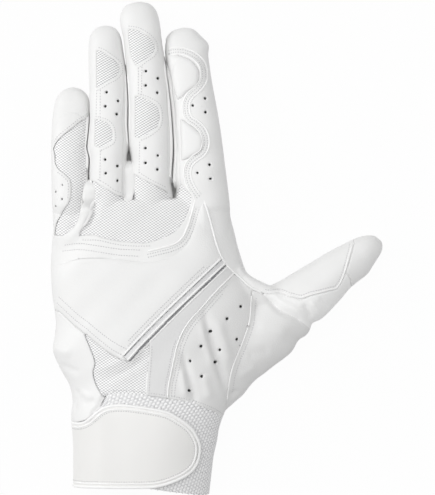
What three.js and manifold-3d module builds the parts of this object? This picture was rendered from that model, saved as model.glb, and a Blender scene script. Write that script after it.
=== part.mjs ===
// A batting glove for the left hand, filled as if worn, lying palm down.
// Millimetres, +Z up. +Y runs from the wrist to the fingertips and +X towards the thumb.
// The origin is the bottom centre of the bounding box.
import * as THREE from 'three';
import { mergeVertices } from 'three/addons/utils/BufferGeometryUtils.js';
import Module from 'manifold-3d';

const wasm = await Module();
wasm.setup();

// Driving dimensions
const handLength = 190; // wrist seam to the end of the middle finger
const handThickness = 36; // palm to back, at the middle of the hand
const knuckleHeight = 20; // middle of a finger's root above the table
const thumbHeight = 16; // middle of the thumb's root above the table
const indexThickness = 19;
const middleThickness = 19;
const ringThickness = 18.4;
const littleThickness = 17;
const thumbThickness = 24;
const leather = 1.4; // wall of a leather panel
const mesh = 0.9; // wall of a stretch panel
const seamGap = 0.34; // between two panels that meet at a seam
const padRise = 4.2; // top of the back pad above the glove's skin
const coverWall = 1.1; // leather over the pad's foam
const padSide = 6; // how far the pad stays above the seam at the little finger's side
const pipingWidth = 1.4;
const pipingRise = 1.5; // above the glove's skin
const channelWidth = 1.7; // between the two piping cords
const raisedRise = 0.7; // of a panel sewn on top of the skin
const cuffWall = 2.2;
const bindingWidth = 3;
const loopWall = 0.9;
const hookWall = 0.9;
const strapWall = 1.7;
const strapBindingWidth = 1.6;
const strapBindingRise = 0.6; // above the strap
const handFacets = 26;
const stallFacets = 14;
const handStep = 13; // between two sections of the hand
const stallStep = 11;
const overrun = 30; // of a cutting shape past what it cuts
const mergeShare = 0.001; // of the seam's gap, within which two corners are one
const cornerShare = 0.5; // keeps the inset of a sharp corner short
const holeFacets = 8;
const tall = handThickness + overrun;

// Bending. With all three bends of a finger at their limits its tip just clears the palm
const rootBendDegrees = 75;
const middleBendDegrees = 80;
const endBendDegrees = 35;
const thumbRootBendDegrees = 30;
const thumbEndBendDegrees = 60;
const bendDepthShare = 0.1; // how far below its middle a stall bends
const bendPlay = 0.6; // clearance of two stall parts at full bend

// The photograph's scale: handLength spans these rows of it, and its middle is the origin
const seamRowPx = 404;
const tipRowPx = 0;
const centrePx = [217.8, 246.2];
const pixel = handLength / (seamRowPx - tipRowPx);
const place = ([x, y]) => new THREE.Vector2((x - centrePx[0]) * pixel, (centrePx[1] - y) * pixel);

const materials = {
  leather: { color: 0xf1f0ee, roughness: 0.55, metalness: 0 },
  mesh: { color: 0xe9e9e7, roughness: 0.85, metalness: 0 },
  knit: { color: 0xeeeeec, roughness: 0.95, metalness: 0 },
  trim: { color: 0xc3c5c8, roughness: 0.6, metalness: 0 },
  foam: { color: 0xd9d9d6, roughness: 1, metalness: 0 },
  hook: { color: 0xcfcfcd, roughness: 0.9, metalness: 0 },
};

const glove = new THREE.Group();

// A closed three.js geometry as a solid that can be joined and cut
function solidOf(geometry) {
  const bare = geometry.clone();
  bare.deleteAttribute('normal');
  bare.deleteAttribute('uv');
  const merged = mergeVertices(bare, seamGap * mergeShare);
  return new wasm.Manifold(new wasm.Mesh({
    numProp: 3,
    vertProperties: merged.attributes.position.array,
    triVerts: Uint32Array.from(merged.index.array),
  }));
}

// A solid as a named mesh of the glove. A cut can leave crumbs, and only the piece itself is kept
function addPiece(name, solid, material) {
  const piece = solid.decompose().sort((a, b) => b.volume() - a.volume())[0];
  const { vertProperties, triVerts } = piece.getMesh();
  const geometry = new THREE.BufferGeometry();
  geometry.setAttribute('position', new THREE.BufferAttribute(vertProperties, 3));
  geometry.setIndex(new THREE.BufferAttribute(triVerts, 1));
  geometry.computeVertexNormals();
  const part = new THREE.Mesh(geometry, new THREE.MeshStandardMaterial(materials[material]));
  part.name = name;
  glove.add(part);
}

// A value read from a table of [place, value] rows, straight between them
function readTable(table, where) {
  const next = table.findIndex(([at]) => at > where);
  if (next === 0) return table[0][1];
  if (next < 0) return table.at(-1)[1];
  const [low, high] = [table[next - 1], table[next]];
  return THREE.MathUtils.mapLinear(where, low[0], high[0], low[1], high[1]);
}

// A tube runs along an axis of the photograph, between a left and a right edge. Its height and its
// thickness come from tables of shares over the length, which round its tip off
class Tube {
  constructor({ rootPx, tipPx, leftPx, rightPx, ...form }) {
    this.root = place(rootPx);
    this.length = this.root.distanceTo(place(tipPx));
    this.along = place(tipPx).sub(this.root).normalize();
    this.across = new THREE.Vector2(this.along.y, -this.along.x);
    this.left = leftPx.map((point) => this.local(point));
    this.right = rightPx.map((point) => this.local(point));
    Object.assign(this, form); // thickness, lift, liftShares, fullShares, power, facets and step
  }

  // How far along and across the tube a point of the photograph lies
  local(point) {
    const offset = place(point).sub(this.root);
    return [offset.dot(this.along), offset.dot(this.across)];
  }

  alongOf(point) {
    return this.local(point)[0];
  }

  height(where) {
    return this.lift * readTable(this.liftShares, where / this.length);
  }

  halfThickness(where) {
    return this.thickness / 2 * readTable(this.fullShares, where / this.length);
  }

  // The tube's section at a place along it, grown by offset all round and by rise towards its top
  ring(where, offset, rise) {
    const left = readTable(this.left, where);
    const right = readTable(this.right, where);
    const halfWidth = Math.max((right - left) / 2 + offset, seamGap);
    const halfHeight = Math.max(this.halfThickness(where) + offset, seamGap);
    const middle = this.root.clone()
      .addScaledVector(this.along, where + offset * this.tipShare(where))
      .addScaledVector(this.across, (left + right) / 2);
    return Array.from({ length: this.facets }, (_, k) => {
      const angle = 2 * Math.PI * k / this.facets;
      const round = (value) => Math.sign(value) * Math.abs(value) ** (2 / this.power);
      const side = middle.clone().addScaledVector(this.across, halfWidth * round(Math.cos(angle)));
      const up = halfHeight * round(Math.sin(angle)) + rise * Math.max(Math.sin(angle), 0);
      return new THREE.Vector3(side.x, side.y, this.height(where) + up);
    });
  }

  // 0 along the tube, rising to 1 over its round tip
  tipShare(where) {
    return THREE.MathUtils.clamp((where - this.length) / this.thickness * 2 + 1, 0, 1);
  }

  // The solid between two places along the tube
  loft(from, to, offset = 0, rise = 0) {
    const tipStart = this.length - this.thickness / 2;
    const places = [from];
    const count = Math.max(1, Math.round((Math.min(to, tipStart) - from) / this.step));
    for (let k = 1; k <= count; k += 1) places.push(from + (Math.min(to, tipStart) - from) * k / count);
    if (to > tipStart) {
      for (const share of tipShares) places.push(tipStart + (this.length - tipStart) * share);
    }
    const rings = places.map((where) => this.ring(where, offset, rise));
    const points = rings.flat();
    const faces = [];
    for (let i = 0; i < rings.length - 1; i += 1) {
      for (let k = 0; k < this.facets; k += 1) {
        const a = i * this.facets + k;
        const b = i * this.facets + (k + 1) % this.facets;
        faces.push(a, a + this.facets, b, b, a + this.facets, b + this.facets);
      }
    }
    const last = points.length - this.facets;
    for (const [ring, first] of [[rings[0], 0], [rings.at(-1), last]]) {
      const middle = points.length;
      points.push(ring.reduce((sum, point) => sum.add(point), new THREE.Vector3()).divideScalar(ring.length));
      for (let k = 0; k < this.facets; k += 1) {
        const pair = [first + k, first + (k + 1) % this.facets];
        if (first > 0) pair.reverse();
        faces.push(middle, ...pair);
      }
    }
    const geometry = new THREE.BufferGeometry().setFromPoints(points);
    geometry.setIndex(faces);
    return solidOf(geometry);
  }

  // The upright solid over all of the tube beyond a place, wider than the tube by margin
  beyond(where, margin) {
    const side = (edge) => [[where, readTable(edge, where)], ...edge.filter(([at]) => at > where)];
    const outline = [...side(this.left), ...side(this.right).reverse()].map(([along, across]) => (
      this.root.clone().addScaledVector(this.along, along).addScaledVector(this.across, across)));
    return upright(inset(outline, -margin), -overrun, tall);
  }

  // A length of the tube's wall, open at both ends unless it holds the tip
  wall(from, to, inner, outer) {
    const closed = to >= this.length;
    const hollow = this.loft(from - this.step, closed ? to : to + this.step, inner);
    return this.loft(from, to, outer).subtract(hollow);
  }
}

const tipShares = [0.5, 0.84, 1];

// Shapes seen from above: an outline moved inwards by a distance, and the upright solid on it
function inset(points, distance) {
  const turn = THREE.ShapeUtils.area(points) > 0 ? 1 : -1;
  return points.map((point, k) => {
    const before = points.at(k - 1);
    const after = points[(k + 1) % points.length];
    const [a, b] = [[before, point], [point, after]].map(([from, to]) => {
      const side = to.clone().sub(from).normalize();
      return new THREE.Vector2(-side.y, side.x).multiplyScalar(turn);
    });
    const bisector = a.clone().add(b);
    return point.clone().addScaledVector(bisector, distance / Math.max(a.dot(bisector), cornerShare));
  });
}

function upright(points, bottom, top) {
  const depth = top - bottom;
  const geometry = new THREE.ExtrudeGeometry(new THREE.Shape(points), { depth, bevelEnabled: false });
  geometry.translate(0, 0, bottom);
  return solidOf(geometry);
}

const region = (outlinePx, shrink, bottom = -overrun, top = tall) => (
  upright(inset(outlinePx.map(place), shrink), bottom, top)
);

// An upright wall of even width along the whole edge of an outline, for cutting its margin away
function margin(outlinePx, width) {
  const points = outlinePx.map(place);
  const centre = new THREE.Vector2();
  return points.map((point, k) => {
    const next = points[(k + 1) % points.length];
    const side = next.clone().sub(point).normalize().multiplyScalar(width).rotateAround(centre, Math.PI / 2);
    const wall = upright([point.clone().add(side), point.clone().sub(side), next.clone().sub(side),
      next.clone().add(side)], -overrun, tall);
    const post = new THREE.CylinderGeometry(width, width, tall + overrun, holeFacets);
    post.rotateX(Math.PI / 2);
    post.translate(point.x, point.y, (tall - overrun) / 2);
    return wall.add(solidOf(post));
  }).reduce((whole, wall) => whole.add(wall));
}

// A line of the photograph as a band of even width
function band(linePx, shift, width) {
  const line = linePx.map(place);
  const sides = line.map((point, k) => {
    const next = line[Math.min(k + 1, line.length - 1)];
    const direction = next.clone().sub(line[Math.max(k - 1, 0)]).normalize();
    return [point, new THREE.Vector2(direction.y, -direction.x)];
  });
  const near = sides.map(([point, side]) => point.clone().addScaledVector(side, shift - width / 2));
  const far = sides.map(([point, side]) => point.clone().addScaledVector(side, shift + width / 2));
  return upright([...near, ...far.reverse()], -overrun, tall);
}

// The hand and wrist, one tube from the cuff's mouth to the roots of the fingers
const hand = new Tube({
  rootPx: [150, 500],
  tipPx: [150, 204],
  leftPx: [[74, 500], [74, 484], [72.5, 465], [73, 444], [71.5, 425], [73, 405], [73, 396], [70, 384],
    [63, 372],
    [57, 360], [53.5, 350], [55, 338], [56.5, 324], [55.5, 312], [53.5, 300], [52, 285], [51.5, 265],
    [52.5, 245], [54, 228], [57, 204]],
  rightPx: [[206, 500], [207, 490], [210, 470], [212, 456], [216, 440], [219, 428], [224, 414], [229, 402],
    [235, 390], [243, 372], [250, 352], [256, 335], [260, 318], [261, 302], [258, 287], [252, 274],
    [244, 262], [237, 248], [232.5, 232], [230, 215], [229.5, 204]],
  thickness: handThickness,
  lift: handThickness,
  liftShares: [[0, 0.6], [0.2, 0.6], [0.33, 0.575], [0.42, 0.536], [0.55, 0.522], [0.65, 0.51],
    [0.78, 0.493], [0.9, 0.498], [1, 0.54]],
  fullShares: [[0, 1.08], [0.2, 1.1], [0.33, 1.11], [0.42, 1.1], [0.55, 1.07], [0.65, 1.04], [0.78, 0.997],
    [0.9, 0.83], [1, 0.56]],
  power: 2.35,
  facets: handFacets,
  step: handStep,
});

// The finger stalls. Each runs from inside the hand to its tip. Its short parts are one tube, and
// its longer ones have a back and a palm piece
const fullShares = [[0, 1.04], [0.35, 1.02], [0.6, 0.94], [0.75, 0.9], [0.85, 0.84], [0.92, 0.72],
  [0.97, 0.5], [1, 0.2]];
const liftShares = [[0, 0.98], [0.3, 1], [0.5, 0.96], [0.75, 0.74], [1, 0.42]];
const fingers = {
  little: {
    thickness: littleThickness,
    rootPx: [74, 262],
    tipPx: [72, 86.5],
    leftPx: [[56, 264], [54.5, 235], [53.5, 215], [52.5, 192], [52, 165], [51.5, 145], [52.5, 120],
      [54.5, 103], [57.5, 95], [63, 89.5], [71, 86.5]],
    rightPx: [[97, 262], [92, 232], [88.5, 213], [87.2, 190], [87.5, 165], [86.8, 145], [87.8, 122],
      [88, 106], [86, 96], [81, 89.5], [73, 86.5]],
    bendsPx: [[71.5, 208], [69.5, 162], [70.5, 125]],
    shortParts: ['first', 'second'],
  },
  ring: {
    thickness: ringThickness,
    rootPx: [112, 262],
    tipPx: [105.3, 24.3],
    leftPx: [[88, 262], [89, 232], [89.9, 212], [90.2, 180], [90, 150], [90.3, 120], [89.8, 95], [89, 65],
      [88.6, 48], [90, 35], [95.5, 27.5], [104, 24.2]],
    rightPx: [[138, 262], [134, 232], [129.5, 203], [126.6, 196], [126.3, 180], [126.8, 150], [125.8, 120],
      [125, 95], [123.8, 68], [122, 50], [119.5, 36], [115, 28], [106.5, 24.2]],
    bendsPx: [[109.5, 187], [108.2, 133], [106.5, 68]],
  },
  middle: {
    thickness: middleThickness,
    rootPx: [157, 262],
    tipPx: [138.5, 1],
    leftPx: [[133, 264], [127, 232], [127, 203], [128.8, 196], [128.8, 180], [129.6, 150], [128.8, 120],
      [127.6, 90], [126.2, 60], [123.5, 36], [120.5, 19], [123.5, 9], [130, 3], [138, 0.6]],
    rightPx: [[183, 262], [178, 232], [174.5, 203], [170.4, 194], [170.2, 180], [170, 150], [168.8, 120],
      [166.4, 90], [162.5, 60], [160.2, 36], [157.5, 20], [153, 9], [147, 3], [139.5, 0.6]],
    bendsPx: [[150.5, 184], [148.6, 117], [143.3, 47]],
  },
  index: {
    thickness: indexThickness,
    rootPx: [210, 262],
    tipPx: [183.3, 26.2],
    leftPx: [[183, 264], [176, 232], [172.5, 203], [174.2, 194], [174.6, 183], [174.6, 160], [174.4, 135],
      [173, 112], [170.6, 90], [167.6, 65], [165.2, 46], [167, 36], [174, 28.8], [182.5, 26.2]],
    rightPx: [[240, 258], [234.5, 230], [229.5, 205], [226.8, 185], [223.6, 160], [220.5, 135],
      [216.5, 110], [212, 86], [208.8, 64], [206.8, 47], [200.5, 35], [192.5, 28], [184.2, 26.2]],
    bendsPx: [[201.5, 187], [195.6, 140], [188.4, 76]],
    shortParts: ['first'],
  },
};
for (const shape of Object.values(fingers)) {
  const round = { liftShares, fullShares, power: 2.3, facets: stallFacets, step: stallStep };
  shape.tube = new Tube({ ...shape, ...round, lift: knuckleHeight });
}

// The thumb, lower than the fingers and turned outwards
const thumb = {
  rootPx: [190, 386.7],
  tipPx: [383, 241],
  bendsPx: [[296, 305], [342, 271]],
};
thumb.tube = new Tube({
  ...thumb,
  thickness: thumbThickness,
  lift: thumbHeight,
  leftPx: [[178, 370], [205, 338], [230, 314], [246, 304], [262, 293], [271, 285.5], [280, 281],
    [290, 275], [300, 269], [312, 262],
    [325, 254], [338, 247], [352, 240], [361, 236.6], [370, 235], [377, 236], [382.5, 240.5]],
  rightPx: [[212, 424], [226, 412], [238, 396], [253, 382], [262, 374], [278, 359], [291, 350],
    [300, 337], [312, 322],
    [328, 311], [342, 297], [357, 279], [369, 270], [378, 259], [383, 251], [384, 242.5]],
  liftShares: [[0, 1.05], [0.3, 0.98], [0.5, 1], [0.7, 0.92], [1, 0.62]],
  fullShares: [[0, 1.1], [0.3, 1.12], [0.48, 1], [0.58, 0.92], [0.76, 0.84], [0.88, 0.76], [0.94, 0.64],
    [0.975, 0.46], [1, 0.2]],
  power: 2.2,
  facets: stallFacets,
  step: stallStep,
});

// How far the wall stops short of a bend, so that two parts of a stall clear each other at full bend
function bendClearance(tube, where, degrees) {
  const depth = tube.halfThickness(where) * (1 - bendDepthShare);
  return depth * Math.tan(THREE.MathUtils.degToRad(degrees / 2)) + bendPlay;
}

// The hand with the roots of all stalls, grown by an offset and raised at the back. As a hollow it
// runs on past the ends of the roots, and as a skin it is cut off square there
const fingerRoots = Object.values(fingers).map((shape) => [shape, rootBendDegrees]);
const roots = [...fingerRoots, [thumb, thumbRootBendDegrees]].map(([{ tube, bendsPx }, degrees]) => {
  const bend = tube.alongOf(bendsPx[0]);
  return { tube, end: bend - bendClearance(tube, bend, degrees) };
});
const join = (solids) => solids.reduce((whole, solid) => whole.add(solid));
const hollowHand = (offset, rise = 0) => join([
  hand.loft(-hand.step, hand.length + Math.min(offset, 0), offset, rise),
  ...roots.map(({ tube, end }) => tube.loft(leather, end + tube.step, offset, rise)),
]);
const wholeHand = (offset, rise = 0) => join([
  hand.loft(0, hand.length, offset, rise),
  ...roots.map(({ tube, end }) => tube.loft(0, end, offset, rise)),
]).subtract(join(roots.map(({ tube, end }) => tube.beyond(end + bendPlay, bendPlay))));
const layer = (inner, outer) => wholeHand(outer).subtract(hollowHand(inner));

// The seam between the palm and the back, as a line across the hand that drops towards the thumb
const seamHeight = handThickness / 2;
const seamPx = [-20, 225, 290, 440];
const seamShares = [1, 1, 0.66, 0.66];
const halfGap = seamGap / 2;
const seamLine = (shift) => seamPx.map((x, k) => (
  new THREE.Vector2(place([x, 0]).x, seamHeight * seamShares[k] + shift)));
function crosswise(profile) {
  const depth = 2 * handLength;
  const geometry = new THREE.ExtrudeGeometry(new THREE.Shape(profile), { depth, bevelEnabled: false });
  geometry.rotateX(Math.PI / 2);
  geometry.translate(0, handLength, 0);
  return solidOf(geometry);
}
const atLevel = (line, level) => line.map(({ x }) => new THREE.Vector2(x, level)).reverse();
const back = crosswise([...seamLine(halfGap), ...atLevel(seamLine(0), tall)]);
const palm = crosswise([...seamLine(-halfGap), ...atLevel(seamLine(0), 0)]);
const sheetPx = [[0, -20], [440, -20], [440, 560], [0, 560]];
const slab = (low, high) => region(sheetPx, 0, low, high);

// Seams of the back, as lines of the photograph from left to right or from top to bottom
const meshLowerEdgePx = [[79, 236], [95, 235], [105, 238], [118, 241], [130, 242], [148, 243], [158, 240],
  [168, 236], [177, 230], [183, 223], [187, 215], [191, 203], [192, 190]];
const padUpperEdgePx = [[40, 268], [66, 263], [80, 259], [105, 258], [135, 261], [150, 262], [165, 259],
  [176, 254], [185, 247], [190, 239], [194, 228], [198, 215], [201.5, 203]];
const padRightEdgePx = [[204, 203], [208, 212], [211, 222], [213.5, 235], [217, 248], [222, 259]];
const weltPx = [[227.5, 259.4], [225, 262], [207, 281], [194.5, 294.5], [181, 308], [169, 319],
  [156.5, 332], [145, 344], [129, 359], [125, 363]];
const padLowerEdgePx = [[129, 359], [122, 358], [112, 353], [100, 344], [85, 332], [75, 324.5], [66, 316],
  [59, 311], [40, 309]];
const trimRightEdgePx = [[234, 273], [215, 292], [200, 309], [190, 322], [184, 334], [180, 345], [177, 357],
  [174.5, 370], [172, 385], [170, 404]];
const trimLeftEdgePx = [[150, 339], [150, 350], [149, 365], [148, 378], [146, 404]];
const wedgeLeftEdgePx = [[85, 332], [89, 342], [95, 357], [96, 363], [94, 371], [95, 379], [98, 386],
  [103, 404]];
const thumbSeamPx = [[262, 293], [252, 290], [251, 301], [249, 322], [245, 335], [240, 348], [235, 360],
  [231, 372], [228, 390], [226, 420]];
const gussetLowerEdgePx = [[222, 259], [229, 268], [240, 278], [250, 287], [262, 293], [272, 291],
  [284, 278], [290, 262]];

// The wrist seam, where the leather ends and the cuff begins
const wristSeamPx = [[40, 403], [80, 401], [102, 391], [130, 391], [150, 393], [170, 396], [190, 400],
  [205, 405], [215, 410], [226, 419], [260, 428]];
const aboveWrist = region([...wristSeamPx, [420, 428], [420, -20], [40, -20], [20, 300]], seamGap / 2);

const panel = (outlinePx, inner, outer) => (
  layer(inner, outer).intersect(region(outlinePx, seamGap / 2)).intersect(back).intersect(aboveWrist)
);
const reversed = (line) => [...line].reverse();
const weltHalf = pipingWidth + channelWidth / 2 + seamGap;
const weltRegion = band(weltPx, 0, 2 * (weltHalf + seamGap));

// Stretch mesh over the knuckles, and the leather band sewn over its lower edge
addPiece('back_mesh_panel', panel([...meshLowerEdgePx, [79, 190]], -mesh - seamGap, -seamGap), 'mesh');
const knuckleStripPx = [...meshLowerEdgePx, [202, 190], ...reversed(padUpperEdgePx.slice(2))];
addPiece('knuckle_strip', panel(knuckleStripPx, -leather, raisedRise), 'leather');

// Leather on the little finger's side, above and below the pad
const littleRootPx = [[79, 190], [79, 236], [80, 259], [66, 263], [40, 268], [20, 230], [40, 190]];
const littleSidePx = [...reversed(padLowerEdgePx.slice(4)), ...wedgeLeftEdgePx, [20, 404], [20, 309]];
addPiece('little_root_panel', panel(littleRootPx, -leather, 0), 'leather');
addPiece('little_side_panel', panel(littleSidePx, -leather, 0), 'leather');

// The index finger's side panel and the web between it and the thumb
const indexSidePx = [[204, 190], ...padRightEdgePx, [229, 268], [240, 278], [256, 262], [300, 190]];
addPiece('index_side_panel', panel(indexSidePx, -leather, 0).subtract(weltRegion), 'leather');
addPiece('thumb_gusset', panel([...gussetLowerEdgePx.slice(2), [256, 262]], -leather, 0), 'leather');

// The padded guard: a lining, a foam insert and a leather cover that closes over it
const padPx = [...padUpperEdgePx, ...padRightEdgePx, ...weltPx.slice(1, -1), ...padLowerEdgePx.slice(1)];
const padRegion = region(padPx, seamGap / 2).subtract(weltRegion).intersect(back);
const padWithin = (width) => (
  padRegion.subtract(margin(padPx, width)).subtract(band(weltPx, 0, 2 * (weltHalf + width))));
const padInner = padRise - coverWall;
const foamRoom = seamGap * 1.5;
const padSlab = (shrink) => slab(seamHeight + padSide + shrink, tall);
addPiece('back_lining', layer(-leather, 0).intersect(padRegion), 'leather');
addPiece('back_pad_foam', wholeHand(seamGap, padInner - 2 * foamRoom).subtract(wholeHand(seamGap))
  .intersect(padWithin(coverWall + 2 * foamRoom)).intersect(padSlab(coverWall + 4 * foamRoom)), 'foam');
addPiece('back_pad_cover', wholeHand(seamGap, padRise).subtract(wholeHand(seamGap))
  .intersect(padRegion).intersect(padSlab(0))
  .subtract(wholeHand(seamGap, padInner).intersect(padWithin(coverWall + foamRoom))
    .intersect(padSlab(coverWall))), 'leather');

// The diagonal welt: two piping cords and the dark channel between them
const pipingShift = (channelWidth + pipingWidth) / 2 + seamGap;
const onBack = (solid) => solid.intersect(back).intersect(aboveWrist);
const weltBand = (shift, width) => band(weltPx.slice(1, -1), shift, width);
const pipe = (shift) => onBack(layer(-leather, pipingRise).intersect(weltBand(shift, pipingWidth)));
addPiece('welt_piping_upper', pipe(pipingShift), 'leather');
addPiece('welt_piping_lower', pipe(-pipingShift), 'leather');
addPiece('welt_channel', onBack(layer(-leather, 0).intersect(weltBand(0, channelWidth))), 'trim');

// Below the welt: trim panel, lower mesh wedge and the perforated panel on the thumb's side
const lowerPanel = (outlinePx, inner, outer) => panel(outlinePx, inner, outer).subtract(weltRegion);
addPiece('diagonal_trim_panel', lowerPanel([...reversed(trimRightEdgePx), [229, 268], ...weltPx.slice(2, 7),
  ...trimLeftEdgePx], -leather, raisedRise), 'leather');
const wedgePx = [...reversed(padLowerEdgePx.slice(0, 5)), [145, 344], ...trimLeftEdgePx,
  ...reversed(wedgeLeftEdgePx).slice(0, -1)];
addPiece('lower_mesh_wedge', lowerPanel(wedgePx, -mesh - seamGap, -seamGap), 'mesh');
const perforationsPx = [[241, 306], [227.2, 318], [210.5, 330.5], [237, 338.5], [201.3, 345.2],
  [219.5, 349], [190.3, 359.8], [215.5, 361], [202, 374.8], [190, 388.7]];
const holeRadius = 0.75;
const hole = (at) => {
  const cutter = new THREE.CylinderGeometry(holeRadius, holeRadius, tall, holeFacets);
  cutter.rotateX(Math.PI / 2);
  cutter.translate(place(at).x, place(at).y, tall / 2);
  return solidOf(cutter);
};
const perforatedPx = [...reversed(thumbSeamPx.slice(1)), [250, 287], [240, 278],
  ...trimRightEdgePx.slice(0, -1), [170, 420]];
const perforated = lowerPanel(perforatedPx, -leather, 0).subtract(join(perforationsPx.map(hole)));
addPiece('perforated_thumb_panel', perforated, 'leather');
addPiece('thumb_base_panel', panel([...thumbSeamPx, [226, 440], [300, 440], [420, 300], [300, 240],
  [290, 262], [284, 278], [272, 291]], -leather, 0), 'leather');

// The palm: one leather panel that runs under the roots of all stalls, and a patch let into its heel
const heelPatchPx = [[92, 372], [88, 350], [92, 326], [112, 308], [150, 300], [190, 308], [212, 326],
  [216, 350], [208, 376], [180, 384], [120, 384]];
addPiece('palm_panel', layer(-leather, 0).intersect(palm).intersect(aboveWrist)
  .subtract(region(heelPatchPx, -seamGap / 2)), 'leather');
addPiece('palm_heel_patch', layer(-leather, 0).intersect(palm)
  .intersect(region(heelPatchPx, seamGap / 2)), 'leather');

// The knitted cuff, its binding round the mouth, and the patch of loops on its back
const mouthPx = [[40, 483], [74, 484], [150, 486], [175, 488], [207, 491.5], [260, 494]];
const mouth = mouthPx.map(place);
const raised = (line, distance) => line.map((point) => point.clone().add(new THREE.Vector2(0, distance)));
const cuffPx = [...reversed(wristSeamPx), [20, 403], [20, 560], [280, 560], [280, 428]];
const between = (low, high) => upright([...raised(mouth, low), ...raised(mouth, high).reverse()], 0, tall);
const wristLayer = (inner, outer) => (
  hand.loft(0, hand.length, outer).subtract(hand.loft(0, hand.length, inner)));
addPiece('cuff', wristLayer(-cuffWall, 0).intersect(region(cuffPx, seamGap / 2))
  .intersect(between(bindingWidth + seamGap, handLength)), 'knit');
addPiece('cuff_binding', wristLayer(-cuffWall, 0).intersect(between(0, bindingWidth)), 'knit');

// The strap. It is sewn on at the little finger's side and closes over the cuff with hooks and loops
const strapPx = [[40, 421], [80, 421], [88, 418.5], [95, 414], [102, 408], [108, 404.5], [115, 402.5],
  [125, 402],
  [140, 403.5], [160, 407], [170, 410], [178, 415], [185, 420], [191, 426], [195, 433], [198, 441],
  [198.5, 448],
  [197.5, 455], [195, 462], [190, 468], [183, 473], [175, 477], [160, 481], [150, 482], [100, 481.5],
  [85, 481.5], [40, 482]];
const gripPx = [[150, 424], [168, 425], [180, 432], [187, 444], [185, 456], [176, 464], [160, 468],
  [150, 468]];
const anchorPx = [[40, 424], [92, 424], [92, 478], [40, 478]];
const loopInner = seamGap;
const hookInner = loopInner + loopWall + seamGap;
const strapInner = hookInner + hookWall + seamGap;
const strapOuter = strapInner + strapWall;
const strapSide = slab(seamHeight + seamGap / 2, tall);
const grip = region(gripPx, 0).intersect(strapSide);
addPiece('loop_patch', wristLayer(loopInner, loopInner + loopWall).intersect(grip), 'hook');
addPiece('hook_patch', wristLayer(hookInner, hookInner + hookWall).intersect(grip), 'hook');
const strapBody = (inner, outer, shrink) => wristLayer(inner, outer).intersect(region(strapPx, shrink))
  .intersect(strapSide);
addPiece('strap_tab', strapBody(strapInner, strapOuter, strapBindingWidth + seamGap), 'leather');
addPiece('strap_binding', strapBody(strapInner, strapOuter + strapBindingRise, 0)
  .subtract(region([[20, 421], ...strapPx.slice(1, -1), [20, 482]], strapBindingWidth)), 'leather');
addPiece('strap_anchor', wristLayer(loopInner, loopInner + strapWall).intersect(region(anchorPx, 0))
  .intersect(slab(seamGap, seamHeight - seamGap / 2)), 'leather');

// The parts of each stall beyond its bends, with a stretch sleeve over each bend
const joints = [];
function addBend(name, { tube, bendsPx }, index, degrees) {
  const where = tube.alongOf(bendsPx[index]);
  const half = tube.halfThickness(where);
  const clearance = bendClearance(tube, where, degrees);
  const sides = (readTable(tube.left, where) + readTable(tube.right, where)) / 2;
  const at = tube.root.clone().addScaledVector(tube.along, where).addScaledVector(tube.across, sides);
  const low = tube.height(where) - half * bendDepthShare;
  joints.push({ name, at: [at.x, at.y, low], across: tube.across.toArray() });
  addPiece(`${name}_sleeve`, tube.wall(where - clearance + seamGap, where + clearance - seamGap,
    -mesh - seamGap, -seamGap), 'mesh');
  return [where - clearance, where + clearance];
}

function addStall(name, shape, bends) {
  const { tube } = shape;
  const names = bendNames[bends.length];
  const spans = bends.map((degrees, index) => addBend(`${name}_${names[index]}`, shape, index, degrees));
  spans.slice(0, -1).forEach(([, from], index) => {
    const to = spans[index + 1][0];
    const wall = tube.wall(from, to, -leather, 0).intersect(slab(0, tall));
    const middle = tube.height((from + to) / 2);
    const piece = `${name}_${phalanxNames[index]}`;
    if (shape.shortParts?.includes(phalanxNames[index])) {
      addPiece(`${piece}_stall`, wall, 'leather');
    } else {
      addPiece(`${piece}_back`, wall.intersect(slab(middle + seamGap / 2, tall)), 'leather');
      addPiece(`${piece}_palm`, wall.intersect(slab(0, middle - seamGap / 2)), 'leather');
    }
  });
  const tip = tube.wall(spans.at(-1)[1], tube.length, -leather, 0);
  addPiece(`${name}_tip`, tip.intersect(slab(0, tall)), 'leather');
}

const bendNames = { 3: ['root', 'knuckle', 'end_knuckle'], 2: ['root', 'knuckle'] };
const phalanxNames = ['first', 'second'];
const fingerBends = [rootBendDegrees, middleBendDegrees, endBendDegrees];
for (const [name, shape] of Object.entries(fingers)) addStall(name, shape, fingerBends);
addStall('thumb', thumb, [thumbRootBendDegrees, thumbEndBendDegrees]);
glove.userData.joints = joints;

export default glove;
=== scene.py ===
import math
import bpy
import numpy as np
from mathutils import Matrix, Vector
from mathutils.bvhtree import BVHTree
from mathutils.kdtree import KDTree


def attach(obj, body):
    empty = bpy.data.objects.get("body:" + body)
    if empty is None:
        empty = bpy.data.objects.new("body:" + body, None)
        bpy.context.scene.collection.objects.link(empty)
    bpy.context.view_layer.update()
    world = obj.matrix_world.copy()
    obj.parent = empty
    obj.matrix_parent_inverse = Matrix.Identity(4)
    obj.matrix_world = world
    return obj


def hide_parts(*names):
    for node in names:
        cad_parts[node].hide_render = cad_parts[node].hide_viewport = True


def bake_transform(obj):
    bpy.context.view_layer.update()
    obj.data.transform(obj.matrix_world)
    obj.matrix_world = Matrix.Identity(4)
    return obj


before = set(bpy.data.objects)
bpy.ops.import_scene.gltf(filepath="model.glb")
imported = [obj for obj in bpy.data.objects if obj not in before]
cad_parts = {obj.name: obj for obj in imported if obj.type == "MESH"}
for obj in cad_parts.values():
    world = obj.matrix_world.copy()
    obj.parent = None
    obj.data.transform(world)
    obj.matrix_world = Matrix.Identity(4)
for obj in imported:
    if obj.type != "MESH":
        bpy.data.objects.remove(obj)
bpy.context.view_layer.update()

MM = 0.001

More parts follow.
